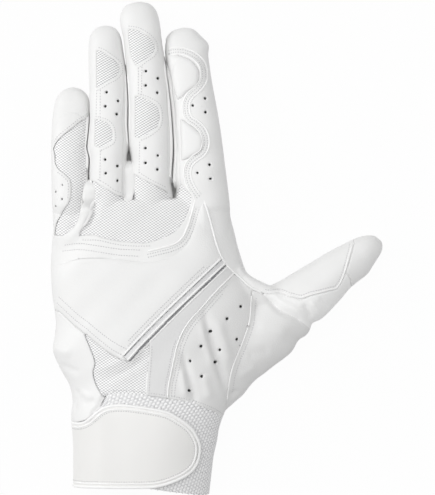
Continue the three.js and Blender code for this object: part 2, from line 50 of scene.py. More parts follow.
# The view. The glove lies palm down and is seen straight from above, the little finger at the left.
# The hand that fills it is 190 mm long and spans 404 rows of the picture, so places on the glove are
# written in the picture's pixels, as in the part's own drawing, and laid onto its surface.
hand_length = 190 * MM
seam_row_px, tip_row_px = 404, 0
centre_px = np.array([217.8, 246.2])
view_centre_px = np.array([217.5, 247.5])
picture_rows = 495
pixel = hand_length / (seam_row_px - tip_row_px)


def place(points_px):
    """Pixels to metres, seen from above."""
    return (np.atleast_2d(np.asarray(points_px, float)) - centre_px) * [pixel, -pixel]


def to_px(points):
    return np.asarray(points)[:, :2] / [pixel, -pixel] + centre_px


view_height = 1.5
skin_height = 0.02
camera_data = bpy.data.cameras.new("camera")
camera_data.sensor_width = 36
camera_data.lens = camera_data.sensor_width * view_height / (picture_rows * pixel)
camera_data.clip_end = 10
camera = bpy.data.objects.new("camera", camera_data)
bpy.context.collection.objects.link(camera)
camera.location = (*place(view_centre_px)[0], view_height + skin_height)
bpy.context.scene.camera = camera
bpy.context.scene.view_settings.view_transform = "Standard"

# The studio: a white floor with a faint shadow, a soft lamp from the upper left, a larger one from
# above and an even surround.


def add_lamp(name, where, size, watts):
    light = bpy.data.lights.new(name, "AREA")
    light.size = size
    light.energy = watts
    lamp = bpy.data.objects.new(name, light)
    lamp.location = where
    lamp.rotation_euler = (-Vector(where)).to_track_quat("-Z", "Y").to_euler()
    bpy.context.collection.objects.link(lamp)


add_lamp("key", (-1.5, 0.55, 0.95), 0.7, 10.4)
add_lamp("overhead", (-0.2, 0.3, 1.9), 1.2, 12.5)


def math_node(tree, operation, *values):
    """One sum of a material, from other nodes' outputs or plain numbers."""
    node = tree.nodes.new("ShaderNodeMath")
    node.operation = operation
    for socket, value in zip(node.inputs, values):
        if isinstance(value, float):
            socket.default_value = value
        else:
            tree.links.new(value, socket)
    return node.outputs[0]


def light_mix(tree, shaded, plain):
    """The plain white for what the camera and reflections see, and the shaded one for the rest."""
    path = tree.nodes.new("ShaderNodeLightPath").outputs
    seen = math_node(tree, "MAXIMUM", path["Is Camera Ray"], path["Is Glossy Ray"])
    clear = math_node(tree, "MAXIMUM", seen, path["Is Transmission Ray"])
    mix = tree.nodes.new("ShaderNodeMixShader")
    tree.links.new(clear, mix.inputs["Fac"])
    tree.links.new(shaded, mix.inputs[1])
    tree.links.new(plain, mix.inputs[2])
    return mix.outputs[0]


world = bpy.data.worlds.new("surround")
bpy.context.scene.world = world
world.use_nodes = True
surround = world.node_tree.nodes["Background"]
surround.inputs["Color"].default_value = (1, 1, 1, 1)
surround.inputs["Strength"].default_value = 0.5
white = world.node_tree.nodes.new("ShaderNodeBackground")
white.inputs["Color"].default_value = (1, 1, 1, 1)
white.inputs["Strength"].default_value = 1
world.node_tree.links.new(light_mix(world.node_tree, surround.outputs[0], white.outputs[0]),
                          world.node_tree.nodes["World Output"].inputs["Surface"])

bpy.ops.object.select_all(action="DESELECT")
bpy.ops.mesh.primitive_plane_add(size=6, location=(0, 0, 0))
floor = bpy.context.object
floor.name = "floor"
paper = bpy.data.materials.new("paper")
paper.use_nodes = True
paper_tree = paper.node_tree
paper_shader = paper_tree.nodes["Principled BSDF"]
paper_shader.inputs["Base Color"].default_value = (0.8, 0.8, 0.8, 1)
paper_shader.inputs["Roughness"].default_value = 0.9
glow = paper_tree.nodes.new("ShaderNodeEmission")
glow.inputs["Color"].default_value = (1, 1, 1, 1)
glow.inputs["Strength"].default_value = 1
shadow_share = 0.035
faint = paper_tree.nodes.new("ShaderNodeMixShader")
faint.inputs["Fac"].default_value = 1 - shadow_share
paper_tree.links.new(paper_shader.outputs[0], faint.inputs[1])
paper_tree.links.new(glow.outputs[0], faint.inputs[2])
paper_tree.links.new(light_mix(paper_tree, paper_shader.outputs[0], faint.outputs[0]),
                     paper_tree.nodes["Material Output"].inputs["Surface"])
floor.data.materials.append(paper)

# The form that fills the glove. Each part of the hand is a tube between its left and right edge, with
# a rounded section, and a smooth skin is drawn over the hand and the thumb together.


def smooth_line(points, steps=8):
    """A smooth curve through given points, which keeps its ends."""
    points = np.asarray(points, float)
    ends = [2 * points[0] - points[1], *points, 2 * points[-1] - points[-2]]
    made = []
    for a, b, c, d in zip(ends, ends[1:], ends[2:], ends[3:]):
        gaps = [math.sqrt(max(np.linalg.norm(q - p), 1e-9)) for p, q in ((a, b), (b, c), (c, d))]
        t0, t1, t2, t3 = np.cumsum([0, *gaps])
        t = np.linspace(t1, t2, steps, endpoint=False)[:, None]
        ab = (t1 - t) / (t1 - t0) * a + (t - t0) / (t1 - t0) * b
        bc = (t2 - t) / (t2 - t1) * b + (t - t1) / (t2 - t1) * c
        cd = (t3 - t) / (t3 - t2) * c + (t - t2) / (t3 - t2) * d
        abc = (t2 - t) / (t2 - t0) * ab + (t - t0) / (t2 - t0) * bc
        bcd = (t3 - t) / (t3 - t1) * bc + (t - t1) / (t3 - t1) * cd
        made.append((t2 - t) / (t2 - t1) * abc + (t - t1) / (t2 - t1) * bcd)
    return np.vstack([*made, points[-1:]])


def bow(value, power):
    """The sine or cosine of a turn, for a section that is squarer than a circle."""
    return np.sign(value) * np.abs(value) ** (2 / power)


edge_steps = 16
tip_power = 2.2


class Tube:
    """A part of the hand, between its left and right edge, with tables of shares over its length."""

    def __init__(self, root, tip, left, right, thickness, lift, lift_shares, full_shares, power, closed=True):
        self.root, end = place(root)[0], place(tip)[0]
        self.along = (end - self.root) / np.linalg.norm(end - self.root)
        self.across = np.array([self.along[1], -self.along[0]])
        self.thickness, self.power, self.closed = thickness, power, closed
        edge = smooth_line(np.vstack([self.local(place(left)), self.local(place(right))[::-1]]), edge_steps)
        top = int(edge[:, 0].argmax())
        self.length = edge[top, 0] if closed else np.linalg.norm(end - self.root)
        self.sides = []
        for side in (edge[:top + 1], edge[top:][::-1]):
            order = np.maximum.accumulate(side[:, 0]) + 1e-9 * np.arange(len(side))
            self.sides.append((order, side[:, 1]))
        self.lifts = smooth_line(np.array(lift_shares) * [self.length, lift], edge_steps)
        self.fulls = smooth_line(np.array(full_shares) * [self.length, thickness / 2], edge_steps)

    def local(self, points):
        offset = np.atleast_2d(points) - self.root
        return np.stack([offset @ self.along, offset @ self.across], 1)

    def edges(self, where):
        return [np.interp(where, *side) for side in self.sides]

    def lift(self, where):
        return np.interp(where, *self.lifts.T)

    def half(self, where):
        dome = self.thickness / 2
        start = self.length - dome
        full = np.interp(np.minimum(where, start) if self.closed else where, *self.fulls.T)
        share = np.clip((where - start) / dome, 0, 1) if self.closed else 0
        return full * np.sqrt(np.maximum(1 - share ** tip_power, 0))

    def point(self, where, angle, offset=0.0):
        """Points of the skin at places along the tube and angles round it, grown by an offset."""
        where, angle = np.asarray(where, float), np.asarray(angle, float)
        left, right = self.edges(where)
        side = (left + right) / 2 + ((right - left) / 2 + offset) * bow(np.cos(angle), self.power)
        flat = self.root + where[..., None] * self.along + side[..., None] * self.across
        up = self.lift(where) + (self.half(where) + offset) * bow(np.sin(angle), self.power)
        return np.concatenate([flat, up[..., None]], -1)

    def top(self, flat):
        """Height of the upper skin over points seen from above."""
        where, side = self.local(flat).T
        left, right = self.edges(where)
        share = np.abs(side - (left + right) / 2) / np.maximum((right - left) / 2, 1e-5)
        rise = np.maximum(1 - share ** self.power, 0) ** (1 / self.power)
        return self.lift(where) + self.half(where) * rise

    def where_px(self, point_px):
        return self.local(place(point_px))[0, 0]


hand = Tube(
    root=(150, 500), tip=(150, 199), thickness=36 * MM, lift=36 * MM, power=2.35, closed=False,
    left=[(74, 500), (74.3, 484), (74.3, 465), (74.2, 444), (73.3, 428), (72, 414), (73.5, 404), (73, 396),
          (70, 384), (63, 372), (57, 360), (53.5, 350), (55, 338), (56.5, 324), (55.5, 312), (53.5, 300),
          (52, 285), (51.5, 265), (52.5, 245), (54, 228), (57, 204)],
    right=[(209, 500), (210, 490), (212.3, 470), (214, 456), (217.5, 440), (219.5, 428), (224, 414),
           (229, 402), (235, 390), (243, 372), (250, 352), (256, 335), (260, 318), (258, 302), (254, 289),
           (248.5, 277), (244.3, 267), (241, 257), (237.7, 246), (234.7, 233), (231.3, 220), (230, 212),
           (229.5, 204)],
    lift_shares=[(0, 0.6), (0.2, 0.6), (0.33, 0.575), (0.42, 0.536), (0.55, 0.522), (0.65, 0.51),
                 (0.78, 0.493), (0.9, 0.498), (1, 0.54)],
    full_shares=[(0, 1.08), (0.2, 1.1), (0.33, 1.11), (0.42, 1.1), (0.55, 1.07), (0.65, 1.04), (0.78, 0.997),
                 (0.9, 0.83), (1, 0.56)])
stall_form = dict(
    lift=20 * MM, power=2.3, lift_shares=[(0, 0.98), (0.3, 1), (0.5, 0.96), (0.75, 0.74), (1, 0.42)],
    full_shares=[(0, 1.04), (0.35, 1.02), (0.6, 0.94), (0.75, 0.9), (0.85, 0.84), (0.92, 0.72), (0.97, 0.5),
                 (1, 0.2)])
fingers = {
    "little": Tube(
        root=(74, 262), tip=(72, 86.5), thickness=17 * MM, **stall_form,
        left=[(56, 264), (54.5, 235), (53.5, 215), (52.5, 192), (52, 165), (51.5, 145), (52.5, 120),
              (54.5, 103), (57.5, 95), (63, 89.5), (71, 86.5)],
        right=[(97, 262), (92, 232), (89.3, 213), (88.8, 190), (88.7, 170), (88.9, 158), (86.8, 148),
               (87.9, 135), (89, 120), (88.6, 106), (86.6, 96), (81, 89.5), (73, 86.5)]),
    "ring": Tube(
        root=(112, 262), tip=(105.3, 24.3), thickness=18.4 * MM, **stall_form,
        left=[(88, 262), (89, 232), (90.1, 212), (90, 190), (90.2, 170), (90.4, 158), (88.2, 149),
              (89.3, 135), (90.4, 120), (90, 100), (89, 65), (88.6, 48), (90, 35), (95.5, 27.5),
              (104, 24.2)],
        right=[(138, 262), (134, 232), (129.3, 203), (128.8, 190), (129, 171), (127.3, 158), (128.8, 147),
               (127.5, 128), (127.5, 103), (126.3, 82), (124.4, 66), (122, 50), (119.5, 36), (115, 28),
               (106.5, 24.2)]),
    "middle": Tube(
        root=(157, 262), tip=(138.5, 1), thickness=19 * MM, **stall_form,
        left=[(133, 264), (129.4, 232), (129.8, 203), (130, 190), (130.6, 172), (132, 160), (130.2, 149),
              (128.7, 128), (128.8, 103), (127.7, 82), (126.2, 60), (123.5, 36), (120, 19), (122, 9),
              (128, 2.6), (138, 0.2)],
        right=[(183, 262), (176, 232), (173.2, 203), (173, 194), (171.6, 185), (171.6, 175), (172.9, 152),
               (171.4, 120), (168.9, 95), (164.9, 66), (160.6, 38), (158.4, 20), (155, 9), (149, 2.8),
               (139.5, 0.2)]),
    "index": Tube(
        root=(210, 262), tip=(183.3, 26.2), thickness=19 * MM, **stall_form,
        left=[(183, 264), (176.5, 232), (174.2, 205), (174.8, 196), (176.2, 190), (175, 185.5),
              (172.8, 180.5), (172.9, 175), (174.3, 152), (172.8, 120), (170.3, 95), (166.4, 66),
              (164.4, 46), (167, 36), (174, 28.8), (182.5, 26.2)],
        right=[(232, 258), (230.5, 230), (229, 205), (226.8, 185), (223.6, 160), (220.5, 135), (216.5, 110),
               (212, 86), (209, 66), (207.4, 53), (208.4, 45.5), (207, 42), (200, 35), (192.5, 28),
               (184.2, 26.2)]),
}
thumb = Tube(
    root=(190, 386.7), tip=(383, 241), thickness=24 * MM, lift=16 * MM, power=2.2,
    left=[(178, 370), (205, 338), (230, 314), (246, 304), (262, 293), (271, 285.5), (280, 281), (290, 275),
          (300, 269), (312, 262), (325, 254), (338, 247), (352, 240), (361, 236.6), (370, 235), (377, 236),
          (382.5, 240.5)],
    right=[(212, 421), (225, 411), (236, 401.5), (243.5, 395), (249.5, 387), (256, 380), (265, 373.5),
           (275, 365.5), (284, 359), (292.5, 351.5), (299, 340), (306, 336), (311, 329), (312, 323),
           (318, 321.5), (325, 316.5), (332, 309.5), (343, 297.5), (350, 289), (359, 281.5), (368.5, 274),
           (375, 264), (380, 256.5), (383, 251), (384, 242.5)],
    lift_shares=[(0, 1.05), (0.3, 0.98), (0.5, 1), (0.7, 0.92), (1, 0.62)],
    full_shares=[(0, 1.1), (0.3, 1.12), (0.48, 1), (0.58, 0.92), (0.76, 0.84), (0.88, 0.76), (0.94, 0.64),
                 (0.975, 0.46), (1, 0.2)])
# The web between the thumb and the index finger is a thin tube of its own.
web = Tube(
    root=(240, 268), tip=(292, 304), thickness=13 * MM, lift=20.5 * MM, power=3.4, closed=False,
    left=[(236, 258), (241.5, 265.5), (245.7, 271.5), (250, 275.5), (257, 279.5), (265, 283.3), (272, 286.5),
          (284, 290), (304, 296)],
    right=[(222, 272), (228, 282), (238, 292), (248, 300), (258, 306), (276, 316)],
    lift_shares=[(0, 1.05), (0.5, 1), (1, 0.95)], full_shares=[(0, 1), (1, 1)])


def loft(tube, start, end, step=1.2 * MM, around=72, offset=0.0):
    """Corners and faces of a closed solid between two places along a tube."""
    turns = np.linspace(0, 2 * math.pi, around, endpoint=False)
    places = np.linspace(start, end, max(2, int(abs(end - start) / step)))
    rings = tube.point(places[:, None] + 0 * turns, turns + 0 * places[:, None], offset)
    points = rings.reshape(-1, 3)
    rows = np.arange(len(places) - 1)[:, None] * around
    now, following = np.arange(around), (np.arange(around) + 1) % around
    quads = np.stack([rows + now, rows + following, rows + following + around, rows + now + around], -1)
    caps = [list(range(around))[::-1], list(range(len(points) - around, len(points)))]
    return points, quads.reshape(-1, 4).tolist() + caps


def new_mesh(name, points, faces):
    mesh = bpy.data.meshes.new(name)
    mesh.from_pydata([tuple(p) for p in points], [], [tuple(f) for f in faces])
    mesh.update()
    made = bpy.data.objects.new(name, mesh)
    bpy.context.collection.objects.link(made)
    return made


def pick(*pieces):
    bpy.ops.object.select_all(action="DESELECT")
    for piece in pieces:
        piece.select_set(True)
    bpy.context.view_layer.objects.active = pieces[0]


def modify(piece, kind, **settings):
    pick(piece)
    modifier = piece.modifiers.new(kind.lower(), kind)
    for name, value in settings.items():
        setattr(modifier, name, value)
    bpy.ops.object.modifier_apply(modifier=modifier.name)


def read_points(mesh):
    flat = np.empty(3 * len(mesh.vertices), np.float32)
    mesh.vertices.foreach_get("co", flat)
    return flat.reshape(-1, 3).astype(float)


def read_normals(mesh):
    flat = np.empty(3 * len(mesh.vertices), np.float32)
    mesh.vertex_normals.foreach_get("vector", flat)
    return flat.reshape(-1, 3).astype(float)


def write_points(mesh, points):
    mesh.vertices.foreach_set("co", np.asarray(points, np.float32).ravel())
    mesh.update()


def face_outwards(piece):
    pick(piece)
    bpy.ops.object.mode_set(mode="EDIT")
    bpy.ops.mesh.select_all(action="SELECT")
    bpy.ops.mesh.normals_make_consistent(inside=False)
    bpy.ops.object.mode_set(mode="OBJECT")


def joined(solids):
    """The corners and faces of several solids as one."""
    points, faces, count = [], [], 0
    for solid_points, solid_faces in solids:
        points.append(solid_points)
        faces += [[corner + count for corner in face] for face in solid_faces]
        count += len(solid_points)
    return np.vstack(points), faces


form_voxel = 0.8 * MM


def form_of(name, solids, voxel=form_voxel, rounds=14):
    """One smooth closed body drawn over several solids."""
    form = new_mesh(name, *joined(solids))
    modify(form, "REMESH", mode="VOXEL", voxel_size=voxel)
    modify(form, "SMOOTH", factor=0.5, iterations=rounds)
    return form


mouth_overrun = 10 * MM
crotch_px = (150, 199)
hand_solids = [loft(hand, -mouth_overrun, hand.length)]
hand_solids += [loft(tube, 0, tube.length) for tube in (thumb, web)]
hand_solids += [loft(stall, 0, stall.where_px(crotch_px)) for stall in fingers.values()]
hand_form = form_of("hand_form", hand_solids)

# Folds and swellings of the worn leather: each is a line of pixels, its half width in pixels and its
# height in millimetres, below zero for a crease.


def lengths_along(path):
    """How far along a path each of its points lies."""
    return np.concatenate([[0], np.cumsum(np.linalg.norm(np.diff(path, axis=0), axis=1))])


def distance_to_line(points, line):
    """Least distance of each point to a line, and the share of the line's length where it lies."""
    points, line = np.asarray(points, float), np.asarray(line, float)
    best, at = np.full(len(points), np.inf), np.zeros(len(points))
    reach = lengths_along(line)
    for k, (a, b) in enumerate(zip(line, line[1:])):
        span = b - a
        share = np.clip((points - a) @ span / max(span @ span, 1e-12), 0, 1)
        distance = np.linalg.norm(points - a - share[:, None] * span, axis=1)
        nearer = distance < best
        best[nearer] = distance[nearer]
        at[nearer] = (reach[k] + share[nearer] * np.linalg.norm(span)) / reach[-1]
    return best, at


folds = [
    ([(90, 205), (82, 225), (73, 237), (64, 246)], 4.2, 0.8),
    ([(101, 190), (97, 206), (91, 220), (84, 231)], 3.4, -1.1),
    ([(203, 302), (208, 325), (213, 345), (219, 364), (225, 384), (229, 402)], 4.2, -1.8),
    ([(217, 315), (222, 335), (227, 352), (231, 370)], 5.0, 1.0),
    ([(201, 318), (205, 335), (210, 352), (214, 370)], 4.0, 0.6),
    ([(181, 345), (187, 366), (192, 384), (197, 408)], 3.6, -1.1),
    ([(182, 366), (184, 382), (187, 398)], 3.4, 0.9),
    ([(92, 370), (112, 364), (132, 353), (150, 338)], 4.0, 0.9),
    ([(98, 381), (118, 374), (136, 364), (150, 352)], 3.4, -0.8),
    ([(204, 372), (207, 386), (210, 400)], 5.0, 0.9),
    ([(66, 262), (90, 258), (115, 256)], 4.5, 0.6),
    ([(53, 345), (64, 350), (75, 352)], 5.0, 0.8),
    ([(60, 362), (72, 368), (84, 372)], 3.5, -0.5),
    ([(263, 294), (272, 303), (280, 310), (290, 315), (300, 321), (309, 328)], 3.2, -1.6),
    ([(268, 290), (280, 301), (292, 307), (304, 313)], 3.0, 0.5),
    ([(302, 303), (308, 311), (311, 320)], 2.2, -0.9),
    ([(309, 300), (316, 308), (321, 316)], 2.4, 0.6),
    ([(318, 298), (325, 303), (330, 309)], 2.2, -0.5),
    ([(255, 325), (272, 330), (290, 336)], 7.0, 0.6),
    ([(245, 355), (258, 352), (272, 350)], 6.0, -0.6),
    ([(236, 378), (246, 372), (258, 364)], 4.0, 0.5),
    ([(224, 396), (232, 394), (240, 388)], 3.0, -0.7),
    ([(76, 385), (79, 394), (76, 404), (78, 414)], 1.9, -0.7),
    ([(82, 389), (88, 394), (96, 396)], 2.6, 0.5),
    ([(84, 403), (92, 401), (99, 398)], 3.0, -0.4),
]


def ease(share):
    """A share that starts and ends softly."""
    share = np.clip(share, 0, 1)
    return share * share * (3 - 2 * share)


fold_fade = 0.28
unevenness = 0.16 * MM


def swell(points_px):
    """How far the leather stands off its form at points of the picture, in metres."""
    rise = np.zeros(len(points_px))
    for line, half_width, height in folds:
        distance, at = distance_to_line(points_px, smooth_line(line, 4))
        rise += height * MM * np.exp(-(distance / half_width) ** 2) * ease(np.minimum(at, 1 - at) / fold_fade)
    x, y = points_px.T
    slow = np.sin(x / 9.1 + 0.7 * np.sin(y / 13)) * np.sin(y / 11.3 + 1.3)
    return rise + unevenness * (slow + 0.6 * np.sin((x + y) / 6.1 + 2))


def raise_folds(form):
    points, normals = read_points(form.data), read_normals(form.data)
    upward = np.clip(normals[:, 2:] * 2, 0, 1)
    write_points(form.data, points + normals * upward * swell(to_px(points))[:, None])


raise_folds(hand_form)

# At the little finger's root the hand's leather slips under the stall, at the wrist it sinks to the knit,
# and the heel of the hand is pressed flat by the table.
stall_sink, knit_sink = 1.7 * MM, 0.95 * MM
stall_end_row, stall_fade_rows = 223, 17
stall_end_column, stall_fade_columns = 101, 4
knit_line = [(95, 413), (100.5, 406), (104, 399), (107.5, 393.3)]
knit_fade_px = 5
pressed_height, pressed_share = 2 * MM, 0.4
hand_points = read_points(hand_form.data)
points_px = to_px(hand_points)
on_top = hand_points[:, 2] > skin_height
under_rows = np.clip((stall_end_row - points_px[:, 1]) / stall_fade_rows, 0, 1)
under_columns = np.clip((stall_end_column - points_px[:, 0]) / stall_fade_columns, 0, 1)
hand_points[:, 2] -= stall_sink * ease(under_rows * under_columns * on_top)
from_knit_px = distance_to_line(points_px, knit_line)[0]
hand_points[:, 2] -= knit_sink * ease(1 - from_knit_px / knit_fade_px) * on_top
hand_points[:, 2] += pressed_share * np.maximum(pressed_height - hand_points[:, 2], 0)
write_points(hand_form.data, hand_points)

# The leather of every panel: soft white synthetic leather with a fine grain and slight unevenness of
# tone. The same recipe with other values gives the palm's softer leather, the trim and the pads.


def finish(name, colour, roughness, sheen=0.0):
    """A material with its shader's own values set, and its tree."""
    material = bpy.data.materials.new(name)
    material.use_nodes = True
    shader = material.node_tree.nodes["Principled BSDF"]
    shader.inputs["Base Color"].default_value = (*colour, 1)
    shader.inputs["Roughness"].default_value = roughness
    shader.inputs["Sheen Weight"].default_value = sheen
    return material, material.node_tree, shader


def tone(tree, shader, factor, low, high):
    ramp = tree.nodes.new("ShaderNodeMix")
    ramp.data_type = "RGBA"
    ramp.inputs[6].default_value = (*low, 1)
    ramp.inputs[7].default_value = (*high, 1)
    tree.links.new(factor, ramp.inputs[0])
    tree.links.new(ramp.outputs[2], shader.inputs["Base Color"])


def relief(tree, shader, height, strength, distance):
    bump = tree.nodes.new("ShaderNodeBump")
    bump.inputs["Strength"].default_value = strength
    bump.inputs["Distance"].default_value = distance
    tree.links.new(height, bump.inputs["Height"])
    tree.links.new(bump.outputs[0], shader.inputs["Normal"])
    return bump


def object_point(tree, scale, turn=0.0):
    where = tree.nodes.new("ShaderNodeTexCoord")
    mapping = tree.nodes.new("ShaderNodeMapping")
    mapping.inputs["Rotation"].default_value = (0, 0, turn)
    mapping.inputs["Scale"].default_value = scale
    tree.links.new(where.outputs["Object"], mapping.inputs["Vector"])
    return mapping.outputs[0]


def texture(tree, kind, vector, **values):
    node = tree.nodes.new(kind)
    for name, value in values.items():
        node.inputs[name].default_value = value
    tree.links.new(vector, node.inputs["Vector"])
    return node


cloud_share = 0.965


def leather_finish(name, colour, roughness, grain=0.35, cell=1500):
    material, tree, shader = finish(name, colour, roughness)
    where = object_point(tree, (1, 1, 1))
    cloudy = texture(tree, "ShaderNodeTexNoise", where, Scale=60, Detail=3)
    darker = tuple(cloud_share * channel for channel in colour)
    tone(tree, shader, cloudy.outputs["Fac"], darker, colour)
    pores = texture(tree, "ShaderNodeTexVoronoi", where, Scale=cell, Randomness=1)
    relief(tree, shader, pores.outputs["Distance"], grain, 0.12 * MM)
    return material


leather = leather_finish("leather", (0.86, 0.86, 0.855), 0.5)
smooth_leather = leather_finish("smooth_leather", (0.88, 0.88, 0.875), 0.38, grain=0.15, cell=2600)
palm_leather = leather_finish("palm_leather", (0.85, 0.85, 0.835), 0.62, grain=0.6, cell=1100)
strap_leather = leather_finish("strap_leather", (0.84, 0.835, 0.82), 0.34, grain=0.1, cell=3000)
trim_leather = leather_finish("trim_leather", (0.75, 0.75, 0.75), 0.6, grain=0.5, cell=1000)
# Darker leather for the perforated panel and the thumb's base: painted shade for the side of the hand that
# slopes away from the lamps.
side_leather_painted_shade = leather_finish("side_leather_painted_shade", (0.8, 0.8, 0.795), 0.55)
# Lighter leather for the thumb's gusset and side: painted light, for the web of the thumb that catches more
# light.
thumb_leather_painted_light = leather_finish("thumb_leather_painted_light", (0.92, 0.92, 0.915), 0.45)
web_leather = leather_finish("web_leather", (0.86, 0.86, 0.855), 0.5)
# Whiter leather for the cords and raised seams: a painted highlight along their lit flanks.
cord_leather_painted_highlight = leather_finish("cord_leather_painted_highlight", (0.95, 0.95, 0.945), 0.4, grain=0.05)

# The stretch mesh: an openwork knit whose holes lie on two slanting sets of rows.
mesh_pitch = 1.05 * MM
# The mesh's holes are coloured dark: painted shade inside the openings.
mesh_thread, mesh_hole_shade = (0.99, 0.99, 0.99), (0.31, 0.31, 0.32)


def mesh_finish(name, slopes, shares):
    """Open rows on two slants. The shares say how strongly each set of rows shows."""
    material, tree, shader = finish(name, (0.84, 0.84, 0.84), 0.75, sheen=0.2)
    rows = []
    for slope, share in zip(slopes, shares):
        split = tree.nodes.new("ShaderNodeSeparateXYZ")
        tree.links.new(object_point(tree, (1, 1, 1), math.radians(slope)), split.inputs[0])
        turns = math_node(tree, "MULTIPLY", split.outputs["Y"], 2 * math.pi / mesh_pitch)
        row = tree.nodes.new("ShaderNodeMapRange")
        row.inputs["From Min"].default_value = -1
        row.inputs["From Max"].default_value = -0.25
        row.inputs["To Min"].default_value = share
        row.inputs["To Max"].default_value = 0
        tree.links.new(math_node(tree, "SINE", turns), row.inputs["Value"])
        rows.append(row.outputs[0])
    both = math_node(tree, "ADD", *rows)
    tone(tree, shader, both, mesh_thread, mesh_hole_shade)
    depth = relief(tree, shader, both, 0.5, 0.3 * MM)
    depth.invert = True
    return material


mesh_fabric = mesh_finish("stretch_mesh", (-32, 40), (0.5, 0.45))
patch_fabric = mesh_finish("stretch_mesh_stall", (-30, 42), (0.75, 0.35))

# Cutting the panels. A seam is a line of pixels. Each face of a skin goes to the first outline that
# holds it, and the corners between two panels are drawn onto the seam itself.


def inside(points, outline):
    x, y = np.asarray(points, float).T
    held = np.zeros(len(x), bool)
    outline = np.asarray(outline, float)
    for (x0, y0), (x1, y1) in zip(outline, np.roll(outline, -1, axis=0)):
        if y0 == y1:
            continue
        crossing = ((y0 > y) != (y1 > y)) & (x < (x1 - x0) * (y - y0) / (y1 - y0) + x0)
        held ^= crossing
    return held


def look_up(spots):
    """A tree that finds the nearest of some places."""
    tree = KDTree(len(spots))
    for k, spot in enumerate(spots):
        tree.insert(spot, k)
    tree.balance()
    return tree


seam_step_px = 0.2


def seam_spots(outlines):
    """Close places along every seam, in pixels."""
    spots = []
    for outline in outlines:
        closed = np.vstack([outline, outline[:1]])
        for a, b in zip(closed, closed[1:]):
            steps = max(1, int(np.linalg.norm(b - a) / seam_step_px))
            spots.append(a + (b - a) * np.arange(steps)[:, None] / steps)
    return np.vstack(spots)


def cut_out(points, faces, chosen):
    """The corners and faces of one panel."""
    faces = [face for face, keep in zip(faces, chosen) if keep]
    used = sorted({corner for face in faces for corner in face})
    index = {corner: k for k, corner in enumerate(used)}
    return points[used], [[index[corner] for corner in face] for face in faces]


def edge_points(mesh, soft_px=()):
    """Points along the open border of a mesh, without those on a soft seam, where it stays flush."""
    counts = {}
    for face in mesh.polygons:
        for key in face.edge_keys:
            counts[key] = counts.get(key, 0) + 1
    points = read_points(mesh)
    border = [key for key, uses in counts.items() if uses == 1]
    spots = np.array([points[a] * (1 - share) + points[b] * share for a, b in border for share in (0, 0.5)])
    for line in soft_px if len(spots) else ():
        away, at = distance_to_line(to_px(spots), line)
        spots = spots[(away > 1.6) | (at < 0.03) | (at > 0.97)]
    return spots


def border_distance(mesh, soft_px=()):
    spots = edge_points(mesh, soft_px)
    points = read_points(mesh)
    if not len(spots):
        return np.full(len(points), 1.0)
    tree = look_up(spots)
    return np.array([tree.find(point)[2] for point in points])


def rounded(share):
    """The height of a quarter circle over a share of its width."""
    return np.sqrt(1 - (1 - np.clip(share, 0, 1)) ** 2)


smooth_angle = math.radians(55)


def make_panel(name, points, faces, material, rise=0.0, wall=1.3 * MM, roll=0.6 * MM, roll_width=0.7 * MM,
               level=1, crown=None, soft_px=()):
    """A sewn panel: its face swells by crown, its edge turns down by roll, and it gets its wall."""
    panel = new_mesh(name, points, faces)
    if level:
        modify(panel, "SUBSURF", levels=level, render_levels=level)
    distance = border_distance(panel.data, soft_px)
    points, normals = read_points(panel.data), read_normals(panel.data)
    lift = rise - roll * (1 - rounded(distance / roll_width))
    if crown:
        height, width = crown
        distance = border_distance(panel.data)
        upward = np.clip(normals[:, 2] * 1.6 - 0.3, 0, 1)
        lift = lift + height * upward * rounded(distance / width)
    write_points(panel.data, points + normals * lift[:, None])
    modify(panel, "SOLIDIFY", thickness=wall, offset=-1, use_even_offset=False)
    pick(panel)
    bpy.ops.object.shade_smooth_by_angle(angle=smooth_angle)
    panel.data.materials.append(material)
    return panel


mesh_lower_edge = smooth_line([
    (79, 236), (95, 235), (105, 238), (118, 241), (130, 242), (148, 243), (158, 240), (168, 236),
    (177, 230), (183, 223), (187, 215), (191, 203), (192, 190)])
pad_upper_edge = smooth_line([
    (40, 268), (66, 263), (80, 259), (105, 258), (135, 261), (150, 262), (165, 259), (176, 254),
    (185, 247), (190, 239), (194, 228), (198, 215), (201.5, 203)])
pad_right_edge = smooth_line([(204, 203), (208, 212), (211, 222), (213.5, 235), (217, 248), (222, 259)])
welt_line = smooth_line([
    (226.5, 264.5), (213, 277.3), (199, 290.5), (187, 302), (175, 313.5), (163, 325.3), (150, 338.5),
    (140, 349), (130, 360)])
pad_lower_edge = smooth_line([
    (129, 360.5), (122, 358), (112, 353), (100, 344), (85, 332), (75, 324.5), (66, 316), (59, 311),
    (40, 309)])
trim_right_edge = smooth_line([
    (234, 273), (215, 292), (200, 309), (190, 320), (183, 331), (178, 343), (175, 355), (172, 370),
    (169, 385), (168, 408)])
trim_left_edge = smooth_line([(150, 339), (150, 350), (149, 365), (148, 378), (146, 408)])
wedge_left_edge = smooth_line([
    (85, 332), (89, 342), (95, 357), (96, 363), (94, 371), (95.5, 379), (98.5, 386), (102.5, 392.5),
    (106, 398), (107, 408)])
thumb_seam = smooth_line([
    (252, 290), (251, 301), (249, 322), (245, 335), (240, 348), (235, 360), (231, 372), (228, 390),
    (224, 430)])
gusset_lower_edge = smooth_line([(222, 259), (229, 268), (240, 278), (250, 287), (262, 293)])
thumb_back_seam = smooth_line([
    (262, 293), (270, 294), (280, 293), (288, 296), (295, 298), (301, 299), (310, 296), (320, 293.5),
    (330, 291), (337, 289), (342, 282), (346, 272), (349, 262), (352, 252), (354, 244), (354, 228)])
thumb_tip_seam = smooth_line([(346, 272), (350, 278), (352, 286), (356, 296)])
thumb_crease = smooth_line([
    (262, 293), (272, 303), (280, 310), (290, 315), (300, 321), (309, 328), (320, 345)])
wrist_seam = smooth_line([
    (40, 424), (70, 422), (80, 420.5), (88, 417.8), (95, 412.5), (100.5, 406), (104, 399), (107.5, 393.3),
    (114, 392), (130, 392), (150, 394), (170, 397), (190, 401), (205, 406), (215, 411), (224, 418),
    (262, 432)])


